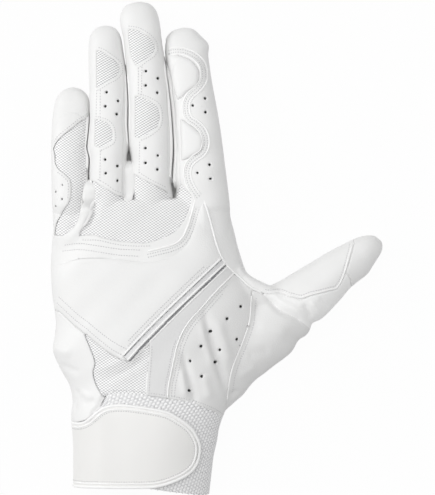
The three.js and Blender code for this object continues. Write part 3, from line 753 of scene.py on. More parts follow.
def stretch_of(line, start_px, end_px):
    """The part of a line between its nearest places to two pixels."""
    a, b = (int(np.linalg.norm(line - np.array(spot), axis=1).argmin()) for spot in (start_px, end_px))
    return line[a:b + 1] if a <= b else line[b:a + 1][::-1]


def outline_of(*parts):
    return np.vstack([np.atleast_2d(np.asarray(part, float)) for part in parts])


back_outlines = {
    "cuff_zone": outline_of(wrist_seam, [(262, 560), (20, 560), (20, 424)]),
    "welt_tape": None,  # these two are drawn beside the welt's line, below
    "welt_channel": None,
    "back_pad_cover": outline_of(pad_upper_edge, pad_right_edge, welt_line, pad_lower_edge),
    "knuckle_strip": outline_of(mesh_lower_edge, [(203, 190), (204, 203)],
                                stretch_of(pad_upper_edge, (201.5, 203), (80, 259))),
    "back_mesh_panel": outline_of(mesh_lower_edge, [(192, 185), (96, 185), (97, 200), (90, 216), (84, 228)]),
    "little_mesh": [(73, 185), (72, 196), (69, 204), (64.5, 210), (61, 216), (57.5, 222), (55.5, 228),
                    (54.5, 235), (64, 236), (74, 228), (79, 220), (81, 210), (82, 196), (83, 185)],
    "little_root_panel": [(97, 185), (97, 200), (90, 216), (84, 228), (79, 236), (80, 259), (66, 263),
                          (40, 268), (20, 240), (40, 185)],
    "thumb_tip": outline_of(stretch_of(thumb_back_seam, (346, 272), (354, 228)),
                            [(420, 200), (420, 300), (356, 296)], thumb_tip_seam[::-1]),
    "thumb_back": outline_of(thumb_back_seam, [(300, 225), (276, 262), (273, 286)]),
    "thumb_gusset": outline_of(gusset_lower_edge[17:], [(273, 286), (276, 262), (252, 268)]),
    "index_side_panel": outline_of([(204, 185)], pad_right_edge, gusset_lower_edge[:18],
                                   [(252, 268), (262, 262), (300, 185)]),
    "thumb_side": outline_of(thumb_crease, [(400, 400), (400, 250)], thumb_tip_seam[::-1],
                             stretch_of(thumb_back_seam, (346, 272), (262, 293))),
    "diagonal_trim_panel": outline_of(trim_right_edge, [(146, 408)], trim_left_edge[::-1],
                                      [(150, 337), (226, 262)], gusset_lower_edge[6:20]),
    "perforated_thumb_panel": outline_of(trim_right_edge[::-1], gusset_lower_edge[8:], [(252, 290)],
                                         thumb_seam, [(168, 430)]),
    "thumb_base_panel": outline_of([(252, 287)], thumb_seam, [(300, 460), (400, 420)], thumb_crease[::-1]),
    "lower_mesh_wedge": outline_of(trim_left_edge, [(146, 408), (103, 408)], wedge_left_edge[::-1],
                                   stretch_of(pad_lower_edge, (85, 332), (129, 360.5)), [(152, 338)]),
    "little_side_panel": outline_of(stretch_of(pad_lower_edge, (40, 309), (85, 332)), wedge_left_edge,
                                    [(107, 432), (20, 432), (20, 309)]),
}


def unit(vectors):
    return vectors / np.linalg.norm(vectors, axis=-1, keepdims=True)


def beside(line, distance):
    """A line of pixels shifted to its left, seen along it, or to its right below zero."""
    line = np.asarray(line, float)
    turn = unit(np.gradient(line, axis=0))
    return line + distance * np.stack([turn[:, 1], -turn[:, 0]], 1)


# The welt runs from the web of the thumb down to the heel of the pad: a tape between two cords, and under the
# lower cord a near-black strip against the trim.
tape_top_px, tape_end_px, channel_end_px = 1.1, -1.0, -6.8


def strip_beside(line, upper, lower):
    return outline_of(beside(line, upper), beside(line, lower)[::-1])


back_outlines["welt_tape"] = strip_beside(welt_line, tape_top_px, tape_end_px)
back_outlines["welt_channel"] = strip_beside(welt_line, tape_end_px, channel_end_px)

# The seam between the back and the palm runs round the hand's side, lower towards the thumb.
side_seam_px = np.array([-20, 225, 290, 440])
side_seam_height = 18 * MM * np.array([1, 1, 0.66, 0.66])
heel_patch = smooth_line([
    (92, 372), (88, 350), (92, 326), (112, 308), (150, 300), (190, 308), (212, 326), (216, 350),
    (208, 376), (180, 384), (120, 384), (92, 372)])
perforations_px = [(241, 306), (227.2, 318), (210.5, 330.5), (237, 338.5), (201.3, 345.2), (219.5, 349),
                   (190.3, 359.8), (215.5, 361), (202, 374.8), (190, 388.7)]
hole_radius = 0.74 * MM
# A near-black sheet put behind holes: painted shade of the glove's inside.
painted_hole_shade, _, _ = finish("painted_hole_shade", (0.02, 0.02, 0.02), 0.9)


def surface_of(tops):
    """The finished leather of some panels, to lay seams on."""
    points, faces = joined(tops)
    return BVHTree.FromPolygons([Vector(p) for p in points], faces)


steepest_seam = 0.25


class Cut:
    """A form whose faces are shared out among outlines: the back above a level, and the palm below it."""

    def __init__(self, form, level, back, palm, rest=None):
        self.points, self.faces = read_points(form.data), [list(face.vertices) for face in form.data.polygons]
        normals, self.names = read_normals(form.data), [*back, *palm, *([rest] if rest else [])]
        self.centres = np.array([face.center for face in form.data.polygons])
        self.centres_px = to_px(self.centres)
        self.is_back = self.centres[:, 2] > level(self.centres)
        self.owner = np.full(len(self.faces), -1)
        for side, table in ((self.is_back, back), (~self.is_back, palm)):
            for name, outline in reversed(list(table.items())):
                held = side if outline is None else side & inside(self.centres_px, outline)
                self.owner[held] = self.names.index(name)
        if rest:
            self.owner[self.is_back & (self.owner < 0)] = self.names.index(rest)
        self.tops = []
        self.adopt()
        palm_numbers = {self.names.index(name) for name in palm}
        self.snap(level, normals, palm_numbers,
                  [outline for table in (back, palm) for outline in table.values() if outline is not None])

    def adopt(self):
        """A face that no outline holds goes with its nearest neighbour."""
        loose, owned = np.where(self.owner < 0)[0], np.where(self.owner >= 0)[0]
        if not len(loose):
            return
        tree = look_up(self.centres[owned])
        for k in loose:
            self.owner[k] = self.owner[owned[tree.find(self.centres[k])[1]]]

    def snap(self, level, normals, palm_numbers, outlines):
        """Draws the corners between two panels onto the seam, or onto the level between back and palm."""
        skin = surface_of([(self.points, self.faces)])
        spots = seam_spots([np.asarray(outline, float) for outline in outlines])
        tree = look_up(np.pad(spots, ((0, 0), (0, 1))))
        owners = [set() for _ in self.points]
        for face, number in zip(self.faces, self.owner):
            for corner in face:
                owners[corner].add(int(number))
        flat_px, levels = to_px(self.points), level(self.points)
        for k, numbers in enumerate(owners):
            if len(numbers) < 2:
                continue
            if numbers & palm_numbers and numbers - palm_numbers:
                self.points[k] = skin.find_nearest(Vector((*self.points[k, :2], levels[k])))[0]
                continue
            _, index, distance = tree.find((*flat_px[k], 0))
            slope = normals[k]
            if distance > 1.3 * form_voxel / pixel or abs(slope[2]) < steepest_seam:
                continue
            flat = place(spots[index])[0]
            drop = -((flat - self.points[k, :2]) @ slope[:2]) / slope[2]
            self.points[k] = (*flat, self.points[k, 2] + np.clip(drop, -form_voxel, form_voxel))

    def panel(self, name, material, holes_px=(), label=None, hole_size=hole_radius, **shape):
        chosen = self.owner == self.names.index(name)
        points = self.points.copy()
        behind_holes = np.zeros(len(self.faces), bool)
        for hole in holes_px:
            away = np.linalg.norm(self.centres_px - hole, axis=1)
            punched = (away < hole_size / pixel) & self.is_back & chosen
            chosen &= ~punched
            behind_holes |= punched
            rim = sorted({corner for k in np.where(punched)[0] for corner in self.faces[k]})
            out = points[rim, :2] - place(hole)
            length = np.maximum(np.linalg.norm(out, axis=1), 1e-6)[:, None]
            points[rim, :2] += out / length * (hole_size - length)
        self.behind_holes = cut_out(points, self.faces, behind_holes)
        made = make_panel(label or f"sewn_{name}", *cut_out(points, self.faces, chosen), material, **shape)
        self.tops.append((read_points(made.data), [tuple(face.vertices) for face in made.data.polygons]))
        return made

    def hole_backs(self, name):
        """A near-black sheet close behind the holes of the panel that was cut last: painted shade of the
        glove's inside.
        """
        return make_panel(name, *self.behind_holes, painted_hole_shade, rise=-0.6 * MM, wall=0.15 * MM, roll=0,
                          level=0)

    def surface(self):
        return surface_of(self.tops)


def side_level(points):
    return np.interp(to_px(points)[:, 0], side_seam_px, side_seam_height)


# The panels of the back and the palm. Those of mesh lie a little lower than the leather around them,
# and those that are sewn on top of another lie higher.
thumb_palm = [(250, 262), (258, 283), (282.4, 315.2), (305, 345), (420, 345), (420, 200), (262, 240)]
palm_outlines = {"palm_cuff_zone": back_outlines["cuff_zone"], "thumb_palm": thumb_palm,
                 "palm_heel_patch": heel_patch, "palm_panel": None}
hand_cut = Cut(hand_form, side_level, back_outlines, palm_outlines)


def stand_for(nodes):
    if nodes:
        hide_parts(*nodes)


def ride(piece, body, slot, *nodes):
    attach(piece, body)
    stand_for(nodes)
    return piece


mesh_wall = 0.8 * MM
for name, nodes in (("back_mesh_panel", ["back_mesh_panel"]), ("lower_mesh_wedge", ["lower_mesh_wedge"]),
                    ("little_mesh", [])):
    panel = hand_cut.panel(name, mesh_fabric, rise=-0.35 * MM, wall=mesh_wall, roll=0.15 * MM)
    ride(panel, "hand", "mesh", *nodes)

# Where two panels lie flush, with no groove between them: the pad's upper edge, the little finger's
# side of the knuckle strip, the web of the thumb and the crease across the thumb's base.
flush = dict(soft_px=[pad_upper_edge, [(79, 234), (80, 261)], [(240, 280.5), (254, 266)], thumb_crease,
                       [(259, 295), (262, 293), (273, 286), (277, 260)]])
knit_edge = [(92, 415), (95, 412.5), *knit_line[1:]]
raised = 0.4 * MM
hand_panels = {
    "knuckle_strip": (leather, dict(rise=raised, **flush)),
    "little_root_panel": (leather, dict(rise=raised, **flush)),
    "little_side_panel": (leather, dict(rise=raised, soft_px=[knit_edge])),
    "index_side_panel": (web_leather, flush),
    "diagonal_trim_panel": (trim_leather, dict(rise=raised)),
    "perforated_thumb_panel": (side_leather_painted_shade, dict(holes_px=perforations_px)),
}
for name, (material, shape) in hand_panels.items():
    ride(hand_cut.panel(name, material, **shape), "hand", "leather", name)
ride(hand_cut.hole_backs("thumb_panel_hole_backs"), "hand", "leather")
ride(hand_cut.panel("palm_panel", palm_leather, level=0), "hand", "palm_leather", "palm_panel")
ride(hand_cut.panel("palm_heel_patch", palm_leather), "hand", "palm_leather", "palm_heel_patch")
pad = hand_cut.panel("back_pad_cover", leather, rise=raised, crown=(1.1 * MM, 6 * MM), **flush)
ride(pad, "hand", "leather", "back_pad_cover", "back_lining", "back_pad_foam")
welt_black_and_painted_shadow, _, _ = finish("welt_dark", (0.24, 0.24, 0.25), 0.5)
tape_light = leather_finish("welt_light", (0.74, 0.74, 0.745), 0.5, grain=0.2)
ride(hand_cut.panel("welt_tape", welt_black_and_painted_shadow, rise=-0.2 * MM, roll=0), "hand", "trim")
ride(hand_cut.panel("welt_channel", tape_light, rise=raised, roll=0.2 * MM), "hand", "trim", "welt_channel")

# The thumb is sewn of its back, its two sides and its tip. Each piece is cut between the thumb's two joints
# and stays as it lies at rest, not bent over the joint that it crosses. The gusset and the base panel are not
# cut.


def bend_over(piece, slot, tube, joint, *nodes):
    """A piece fixed where it lies at rest, not bent, with the parts that it stands for hidden. Its joint: two
    bodies, a pixel between them and half the bend's length.
    """
    body_a, body_b, bend_px, half_length = joint
    where = tube.where_px(bend_px)
    height = tube.point(np.array([where - half_length]), np.array([0.0]))[0, 2]
    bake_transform(piece)
    stand_for(nodes)


bend_half = 8 * MM
thumb_joints = [("hand", "thumb_first", (296, 305), bend_half),
                ("thumb_first", "thumb_tip", (342, 271), bend_half)]
for name, material in (("thumb_gusset", thumb_leather_painted_light), ("thumb_base_panel", side_leather_painted_shade)):
    bend_over(hand_cut.panel(name, material, **flush), "leather", thumb, thumb_joints[0], name)

shortest_part = 0.6 * MM


def split_along(piece, tube, cuts):
    """Cuts a closed piece across a tube at some places, and closes the cuts. Gives the parts in order."""
    where = tube.local(read_points(piece.data)[:, :2])[:, 0]
    bounds = [-1.0, *cuts, 10.0]
    parts = []
    for number, (low, high) in enumerate(zip(bounds, bounds[1:])):
        if where.max() < low + shortest_part or where.min() > high - shortest_part:
            parts.append(None)
            continue
        part = piece.copy()
        part.data = piece.data.copy()
        part.name = f"{piece.name}_{number + 1}"
        bpy.context.collection.objects.link(part)
        for place_along, side in ((low, -1), (high, 1)):
            if not where.min() < place_along < where.max():
                continue
            pick(part)
            bpy.ops.object.mode_set(mode="EDIT")
            bpy.ops.mesh.select_all(action="SELECT")
            bpy.ops.mesh.bisect(plane_co=(*(tube.root + tube.along * place_along), 0), use_fill=True,
                                plane_no=(*tube.along, 0), clear_inner=side < 0, clear_outer=side > 0)
            bpy.ops.object.mode_set(mode="OBJECT")
            bpy.ops.object.shade_smooth_by_angle(angle=smooth_angle)
        parts.append(part)
    bpy.data.objects.remove(piece)
    return parts


def over_joints(piece, slot, tube, joints, splits, nodes=((), (), ())):
    """Cuts a piece between the joints of a finger and fixes each part where it lies, not bent over its joint.
    """
    for part, joint, stand_ins in zip(split_along(piece, tube, splits), joints, nodes):
        if part:
            bend_over(part, slot, tube, joint, *stand_ins)


thumb_middle_px = (319, 288)


def along_thumb(piece, slot, nodes=((), ())):
    over_joints(piece, slot, thumb, thumb_joints, [thumb.where_px(thumb_middle_px)], nodes)


thumb_panels = {
    "thumb_back": (smooth_leather, "leather",
                   [("thumb_root_sleeve", "thumb_first_back"), ("thumb_knuckle_sleeve",)]),
    "thumb_palm": (palm_leather, "palm_leather", [("thumb_first_palm",), ()]),
    "thumb_side": (thumb_leather_painted_light, "leather", [(), ("thumb_tip",)]),
    "thumb_tip": (leather, "leather", [(), ()]),
}
for name, (material, slot, nodes) in thumb_panels.items():
    along_thumb(hand_cut.panel(name, material, **flush), slot, nodes)
bpy.data.objects.remove(hand_form)

# The stalls of the four fingers. Leather covers the back of each, cut out over the knuckles for the
# stretch mesh under it, with a smooth strip down each side and softer leather on the palm's side.
stall_regions = {
    "little": {
        "root_mesh": [(61, 216), (57.5, 222), (50, 230), (50, 240), (80, 240), (81, 216)],
        "mesh": [(92, 112), (84, 119), (80, 121.5), (75, 126), (70, 130), (65, 134), (60, 138.5), (56, 143),
                 (53, 149), (55, 155), (55, 162), (57, 167), (60, 170.5), (65, 174), (69, 178), (71.5, 182),
                 (72, 190), (71.5, 198), (69, 204), (64.5, 210), (61, 216), (81, 216), (81.5, 210),
                 (83, 195), (86.5, 180), (88, 172), (95, 165)],
        "strip": [(95, 165), (88, 172), (86.5, 180), (83, 195), (81.5, 210), (81, 216), (80, 240),
                  (105, 240)],
    },
    "ring": {
        "mesh_end": [(96.5, 50), (98, 50), (103, 52), (110, 57), (115, 60.5), (119, 65), (120, 70),
                     (118, 75), (113, 79), (107, 82), (101, 86), (97, 88)],
        "mesh_middle": [(95.5, 120), (100, 120), (107, 123), (111, 127), (113, 133), (113, 141), (108, 145),
                        (101, 148), (95.5, 146)],
        "root_mesh": [(92.5, 181), (97, 183), (103, 187), (110, 191), (118, 196), (124, 197), (127, 201),
                      (134, 240), (80, 240), (86, 215), (92, 199)],
        "strip_right": [(150, 75), (124.5, 75), (123.5, 100), (122.5, 120), (123.5, 140), (123.5, 165),
                        (122.5, 190), (124, 197), (127, 201), (134, 240), (150, 240)],
    },
    "middle": {
        "mesh_end": [(128, 28.5), (137, 30), (144, 33.5), (150, 38), (154, 43.5), (155, 50), (152, 55),
                     (145, 60), (140, 64), (137, 66), (134, 62), (131.5, 57), (130, 50), (128.5, 38)],
        "mesh_middle": [(135.5, 97), (140, 97), (147, 100), (152, 103), (157, 106), (159.5, 112), (160, 120),
                        (158, 127), (153, 131), (148, 135), (141, 138), (135.5, 138)],
        "root_mesh": [(132.5, 173.5), (137, 176), (143, 179.5), (150, 183), (158, 187), (165, 191),
                      (168, 193), (172, 198), (178, 240), (124, 240), (127, 205), (131, 192)],
        "strip_right": [(190, 75), (166.5, 75), (166.5, 100), (167.5, 120), (168, 150), (168, 193),
                        (172, 198), (178, 240), (190, 240)],
    },
    "index": {
        "pad_end": [(168, 54), (177, 55), (185, 57.5), (192, 61), (196, 66), (199, 71), (199, 80), (197, 86),
                    (192, 89), (186, 93), (183, 97), (178, 100), (175.5, 94), (173, 84), (170, 71),
                    (167, 60)],
        "pad_middle": [(181, 120), (184, 121), (190, 125), (198, 132), (202, 136), (203, 143), (202, 150),
                       (198, 154), (190, 158), (186, 160), (182, 161)],
        "root_mesh": [(181, 184), (186, 190), (192, 195), (193, 205), (190, 215), (187, 240), (168, 240),
                      (172, 200)],
        "strip_left": [(150, 24), (164, 28), (166, 40), (167, 60), (170, 72), (174, 88), (175.5, 102),
                       (177, 128), (179, 150), (179.5, 175), (181, 184), (172, 200), (168, 240), (150, 240)],
    },
}
stall_rises = {"root_mesh": -0.3, "mesh": -0.3, "mesh_end": 0.05, "mesh_middle": 0.05, "strip": -0.05,
               "strip_left": -0.05, "strip_right": -0.05, "pad_end": 0.15, "pad_middle": 0.15}
stall_bends_px = {
    "little": [(71.5, 208), (69.5, 162), (70.5, 125)],
    "ring": [(109.5, 187), (108.2, 133), (106.5, 68)],
    "middle": [(150.5, 184), (148.6, 117), (143.3, 47)],
    "index": [(201.5, 187), (195.6, 140), (188.4, 76)],
}
stall_holes_px = {
    "little": [(63.3, 185.3), (56.5, 192), (63, 199.3), (56.5, 206.5)],
    "ring": [(107, 92.8), (118.2, 101.5), (105.8, 106.8), (117, 114.8), (106, 160), (118, 166.5),
             (106.3, 173.7), (118, 181)],
    "middle": [(146.3, 71.8), (158, 78.8), (146, 86), (157.5, 93.2), (146, 148.7), (158.2, 156),
               (146, 163.4), (157.8, 170)],
    "index": [(205, 98.9), (192.8, 106.2), (205.5, 112.7), (209.5, 165.2), (197.5, 173.4), (210.4, 179.2)],
}
stall_nodes = {
    "little": {"leather": [("little_root_sleeve", "little_first_stall"),
                           ("little_knuckle_sleeve", "little_second_stall"),
                           ("little_end_knuckle_sleeve", "little_tip")]},
    "ring": {"leather": [("ring_root_sleeve", "ring_first_back"), ("ring_knuckle_sleeve", "ring_second_back"),
                         ("ring_end_knuckle_sleeve", "ring_tip")],
             "palm": [("ring_first_palm",), ("ring_second_palm",), ()]},
    "middle": {"leather": [("middle_root_sleeve", "middle_first_back"),
                           ("middle_knuckle_sleeve", "middle_second_back"),
                           ("middle_end_knuckle_sleeve", "middle_tip")],
               "palm": [("middle_first_palm",), ("middle_second_palm",), ()]},
    "index": {"leather": [("index_root_sleeve", "index_first_stall"),
                          ("index_knuckle_sleeve", "index_second_back"),
                          ("index_end_knuckle_sleeve", "index_tip")],
              "palm": [(), ("index_second_palm",), ()]},
}
stall_halves = [bend_half, bend_half, 6 * MM]
stall_joints, stall_splits = {}, {}
for finger, bends_px in stall_bends_px.items():
    bodies = ["hand", f"{finger}_first", f"{finger}_second", f"{finger}_tip"]
    stall_joints[finger] = list(zip(bodies, bodies[1:], bends_px, stall_halves))
    bends = [fingers[finger].where_px(bend) for bend in bends_px]
    stall_splits[finger] = [(bends[0] + bends[1]) / 2, (bends[1] + bends[2]) / 2]


def along_stall(piece, finger, slot, nodes=((), (), ())):
    over_joints(piece, slot, fingers[finger], stall_joints[finger], stall_splits[finger], nodes)


def at_row(tube, row):
    """How far along a finger a row of the picture lies."""
    return tube.where_px((to_px([tube.root])[0, 0], row))


def middle_of(tube):
    """The level between the back and the palm side of a stall."""
    return lambda points: tube.lift(tube.local(points[:, :2])[:, 0])


# Each stall's root dives under the hand's leather and narrows a little there.
stall_root_row = 232
dive_rows = (206, 222)
stall_rise, root_dive, root_draw = 0.35 * MM, 2.2 * MM, 0.07
stall_wall, seam_rise = 1.2 * MM, 0.4
small_hole, stall_hole = 0.45 * MM, 0.68 * MM
stall_cuts = {}
for finger, tube in fingers.items():
    solid = loft(tube, at_row(tube, stall_root_row), tube.length, around=64)
    form = form_of(f"{finger}_form", [solid], voxel=0.7 * MM, rounds=4)
    points = read_points(form.data)
    dive = np.clip((to_px(points)[:, 1] - dive_rows[0]) / (dive_rows[1] - dive_rows[0]), 0, 1)
    points[:, 2] += np.where(points[:, 2] > tube.lift(0.0), stall_rise - root_dive * dive, 0)
    along, side = tube.local(points[:, :2]).T
    points[:, :2] -= np.outer(root_draw * dive * (side - sum(tube.edges(along)) / 2), tube.across)
    write_points(form.data, points)
    raise_folds(form)
    cut = Cut(form, middle_of(tube), stall_regions[finger], {"palm": None}, rest="leather")
    for region in cut.names:
        meshy, soft = "mesh" in region, region == "palm"
        material = palm_leather if soft else smooth_leather if "strip" in region else leather
        if meshy:
            material = mesh_fabric if "root" in region or finger == "little" else patch_fabric
        shape = dict(rise=0 if soft else stall_rises.get(region, seam_rise) * MM, level=0 if soft else 1,
                     wall=mesh_wall if meshy else stall_wall, roll=(0.1 if meshy else 0.5) * MM)
        if region.startswith("pad"):
            shape.update(crown=(1.0 * MM, 2.4 * MM), roll=0.3 * MM)
        holes = stall_holes_px[finger] if region == "leather" else ()
        hole_size = small_hole if finger == "little" else stall_hole
        piece = cut.panel(region, material, holes, label=f"{finger}_{region}", hole_size=hole_size, **shape)
        slot = "mesh" if meshy else "palm_leather" if soft else "leather"
        along_stall(piece, finger, slot, stall_nodes[finger].get(region, [(), (), ()]))
        if holes and finger != "little":
            along_stall(cut.hole_backs(f"{finger}_hole_backs"), finger, "leather")
    stall_cuts[finger] = cut
    bpy.data.objects.remove(form)

# The cuff. It is knitted of thick elastic yarn, whose bumps stand in slanting columns, and it is sewn
# under the leather at the wrist. Its mouth is turned in and bound with the same knit.
mouth_line = smooth_line([
    (40, 482), (74, 482.5), (140, 483.5), (155, 485.5), (172, 488), (190, 490.3), (207, 492.5),
    (260, 494)])
wrist_root_row = 500


def wrist_place(row):
    """How far along the hand a row of the picture lies."""
    return (wrist_root_row - row) * pixel


tuck_places = wrist_place(np.array([500, 420, 411, 400]))
tuck_depths = np.array([1.6, 1.6, -1.0, -0.4]) * MM
tuck_side = 0.45


def wrist_offset(angle, offset, where=0.0):
    """Under the strap the cuff is drawn in at the little finger's side, and the strap with it."""
    toward = ease((-np.cos(angle) - tuck_side) / tuck_side)
    return offset - np.interp(where, tuck_places, tuck_depths) * toward


cuff_middle_row = 446
sewn_rows, sewn_fade_rows, sewn_sink = 9, 8, 1.6 * MM


def wrist_grid(angles, low_row, high_row, rows, offset):
    """Rings of the wrist between two lines of pixel rows, as functions of the pixel column."""
    shares = np.linspace(0, 1, rows)[:, None]
    middle = hand.point(np.full_like(angles, wrist_place(cuff_middle_row)), angles, 0)
    columns = to_px(middle)[:, 0]
    rows_px = low_row(columns) * (1 - shares) + high_row(columns) * shares
    where = wrist_place(rows_px)
    under = np.clip((high_row(columns) + sewn_rows - rows_px) / sewn_fade_rows, 0, 1)
    return hand.point(where, angles + 0 * where, wrist_offset(angles, offset, where) - sewn_sink * under)


def grid_faces(rows, columns, closed=False):
    last = columns if closed else columns - 1
    return [(r * columns + c, r * columns + (c + 1) % columns, (r + 1) * columns + (c + 1) % columns,
             (r + 1) * columns + c) for r in range(rows - 1) for c in range(last)]


def mouth_row(columns):
    return np.interp(columns, *mouth_line.T)


def seam_row(columns):
    return np.interp(columns, *wrist_seam.T) - sewn_fade_rows


knit_material, knit_tree, knit_shader = finish("knit", (0.84, 0.84, 0.845), 0.72, sheen=0.25)
knit_point = object_point(knit_tree, (1, 1, 1))
yarn_twist = texture(knit_tree, "ShaderNodeTexNoise", knit_point, Scale=2200, Detail=2)
yarn_height = knit_tree.nodes.new("ShaderNodeAttribute")
yarn_height.attribute_name = "yarn_height"
# The knit's colour is painted shade: darker in the valleys between the yarn's bumps, white on their tops.
tone(knit_tree, knit_shader, yarn_height.outputs["Fac"], (0.6, 0.6, 0.61), (1, 1, 1))
relief(knit_tree, knit_shader, yarn_twist.outputs["Fac"], 0.25, 0.1 * MM)

knit_column, knit_row, knit_height = 1.65 * MM, 1.45 * MM, 0.62 * MM
knit_slant, cuff_height, cuff_sink = 5.5 * MM, 40 * MM, 0.75 * MM
cuff_edge_turn, turn_steps = 0.12, 400
wrist_middle = np.array([0, 0, 22 * MM])
cuff_sides = [("cuff_back", -cuff_edge_turn, math.pi + cuff_edge_turn, 0.32 * MM),
              ("cuff_palm", math.pi + cuff_edge_turn, 2 * math.pi - cuff_edge_turn, 0.55 * MM)]
for name, turn_from, turn_to, step in cuff_sides:
    turns = np.linspace(turn_from, turn_to, turn_steps)
    reach = lengths_along(hand.point(np.full(turn_steps, 25 * MM), turns))
    columns, rows = int(reach[-1] / step), int(cuff_height / step)
    along = np.linspace(0, reach[-1], columns)
    points = wrist_grid(np.interp(along, reach, turns), mouth_row, seam_row, rows, -cuff_sink)
    height_along = np.linspace(0, cuff_height, rows)[:, None]
    across = along / knit_column + height_along / knit_slant
    down = height_along / knit_row + 0.5 * np.floor(across)
    bumps = np.abs(np.sin(math.pi * across)) ** 0.6 * np.abs(np.sin(math.pi * down)) ** 0.6
    out = unit(np.cross(np.gradient(points, axis=1), np.gradient(points, axis=0)))
    out *= np.where((out * (points - wrist_middle)).sum(2).mean() > 0, 1, -1)
    points = points + out * (bumps * knit_height)[..., None]
    cuff = new_mesh(name, points.reshape(-1, 3), grid_faces(rows, columns))
    depth = cuff.data.attributes.new("yarn_height", "FLOAT", "POINT")
    depth.data.foreach_set("value", bumps.astype(np.float32).ravel())
    face_outwards(cuff)
    facing = read_normals(cuff.data) * (read_points(cuff.data) - wrist_middle) * [1, 0, 1]
    if facing.sum() < 0:
        cuff.data.flip_normals()
    modify(cuff, "SOLIDIFY", thickness=1.5 * MM, offset=-1)
    bpy.ops.object.shade_smooth()
    cuff.data.materials.append(knit_material)
    ride(cuff, "hand", "knit", *(("cuff", "cuff_binding") if name == "cuff_back" else ()))

# The strap. It is sewn to the little finger's side of the cuff, wraps over the back of the wrist and
# closes with hooks and loops. Its smooth leather has a rolled binding and a bead inside that.
strap_line = smooth_line([
    (66, 421), (80, 421), (88, 418.5), (95, 414), (102, 408), (108, 404.5), (115, 402.5), (125, 402),
    (140, 403.5), (160, 407), (170, 410), (178, 415), (185, 420), (191, 426), (195, 433), (198, 441),
    (198.5, 448), (197.5, 455), (195.3, 462), (190.5, 469), (183.5, 474.3), (175, 478.6), (165, 482.3),
    (154, 484.6), (140, 485.2), (100, 485.4), (85, 485.8), (66, 486)], 6)


def wrist_angle(point_px):
    """The angle round the wrist at which a pixel lies on its back."""
    where, side = hand.local(place(point_px)).T
    left, right = hand.edges(where)
    share = np.clip((side - (left + right) / 2) / ((right - left) / 2), -1, 1)
    return where, np.arccos(np.sign(share) * np.abs(share) ** (hand.power / 2))


strap_sewn_turn = math.pi + 0.13
strap_turns = np.linspace(0.2, strap_sewn_turn, 177)
strap_inner, strap_wall = 0.7 * MM, 1.3 * MM
strap_top = strap_inner + strap_wall


def wrist_sheet(name, turns, low_row, high_row, offset, step=0.6 * MM):
    rows = max(2, int((low_row - high_row) * pixel / step))
    places = wrist_place(np.linspace(low_row, high_row, rows))[:, None]
    angles = turns + 0 * places
    points = hand.point(places + 0 * turns, angles, wrist_offset(angles, offset, places))
    return new_mesh(name, points.reshape(-1, 3), [face[::-1] for face in grid_faces(rows, len(turns))])


def cut_sheet(sheet, name, outline, material, **shape):
    """The one panel that an outline cuts from a sheet."""
    cut = Cut(sheet, lambda points: np.full(len(points), -1.0), {name: outline}, {}, rest="outside")
    made = cut.panel(name, material, **shape)
    bpy.data.objects.remove(sheet)
    return made


strap_outline = np.vstack([strap_line, [(40, 486), (40, 421)]])
strap_tab = cut_sheet(wrist_sheet("strap_form", strap_turns, 489, 400, strap_top), "strap_tab", strap_outline,
                      strap_leather, wall=strap_wall, roll=0.5 * MM, roll_width=1.6 * MM)


def on_wrist(where, angle, offset):
    """Places on the wrist's skin and the directions that point out of it there."""
    where, angle = np.asarray(where, float), np.asarray(angle, float)
    spots = hand.point(where, angle, wrist_offset(angle, offset, where))
    ahead = hand.point(where + 0.2 * MM, angle, wrist_offset(angle, offset, where + 0.2 * MM)) - spots
    round_it = hand.point(where, angle + 0.01, wrist_offset(angle + 0.01, offset, where)) - spots
    return spots, unit(np.cross(round_it, ahead))


def strap_piece(piece, slot, *nodes):
    """A piece of the strap, fixed where it lies, with the parts that it stands for hidden; it is not bent."""
    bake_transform(piece)
    stand_for(nodes)


strap_piece(strap_tab, "leather", "strap_tab")


tab_start_column, round_steps = 79, 12


def strap_edge(inset_px):
    """The strap's edge as places and angles round the wrist, drawn in by some pixels."""
    line = beside(strap_line, -inset_px)
    where, angle = wrist_angle(line[line[:, 0] > tab_start_column])
    first = np.linspace(strap_sewn_turn, angle[0], round_steps, endpoint=False)
    last = np.linspace(angle[-1], strap_sewn_turn, round_steps + 1)[1:]
    ends = [np.full(round_steps, where[end]) for end in (0, -1)]
    return np.concatenate([ends[0], where, ends[1]]), np.concatenate([first, angle, last])


def at_even_steps(step, path, *others):
    """A path, and what goes with it, at even steps along it."""
    lengths = lengths_along(path)
    marks = np.linspace(0, lengths[-1], max(2, int(lengths[-1] / step)))
    return marks, *(np.stack([np.interp(marks, lengths, column) for column in values.T], 1)
                    for values in (path, *others))


def sweep(name, path, out, half_width, height, material, step=0.5 * MM, around=10, shares=None):
    """A cord sewn along a path: its section is a flattened round, and its ends are closed."""
    marks, path, out = at_even_steps(step, path, out)
    swell_by = np.ones(len(marks)) if shares is None else np.interp(np.linspace(0, 1, len(marks)), *shares)
    ahead = unit(np.gradient(path, axis=0))
    side = unit(np.cross(ahead, out))
    out = np.cross(side, ahead)
    from_end = np.minimum(marks, marks[-1] - marks) / (1.2 * half_width)
    taper = rounded(np.maximum(from_end, 0.05))[:, None, None]
    turns = np.linspace(0, 2 * math.pi, around, endpoint=False)
    wide = taper * swell_by[:, None, None] * half_width
    rings = path[:, None] + side[:, None] * wide * np.cos(turns)[None, :, None]
    rings += out[:, None] * taper * height * np.sin(turns)[None, :, None]
    faces = grid_faces(len(path), around, closed=True)
    last = (len(path) - 1) * around
    faces += [list(range(around))[::-1], list(range(last, last + around))]
    cord = new_mesh(name, rings.reshape(-1, 3), faces)
    face_outwards(cord)
    bpy.ops.object.shade_smooth()
    cord.data.materials.append(material)
    return cord


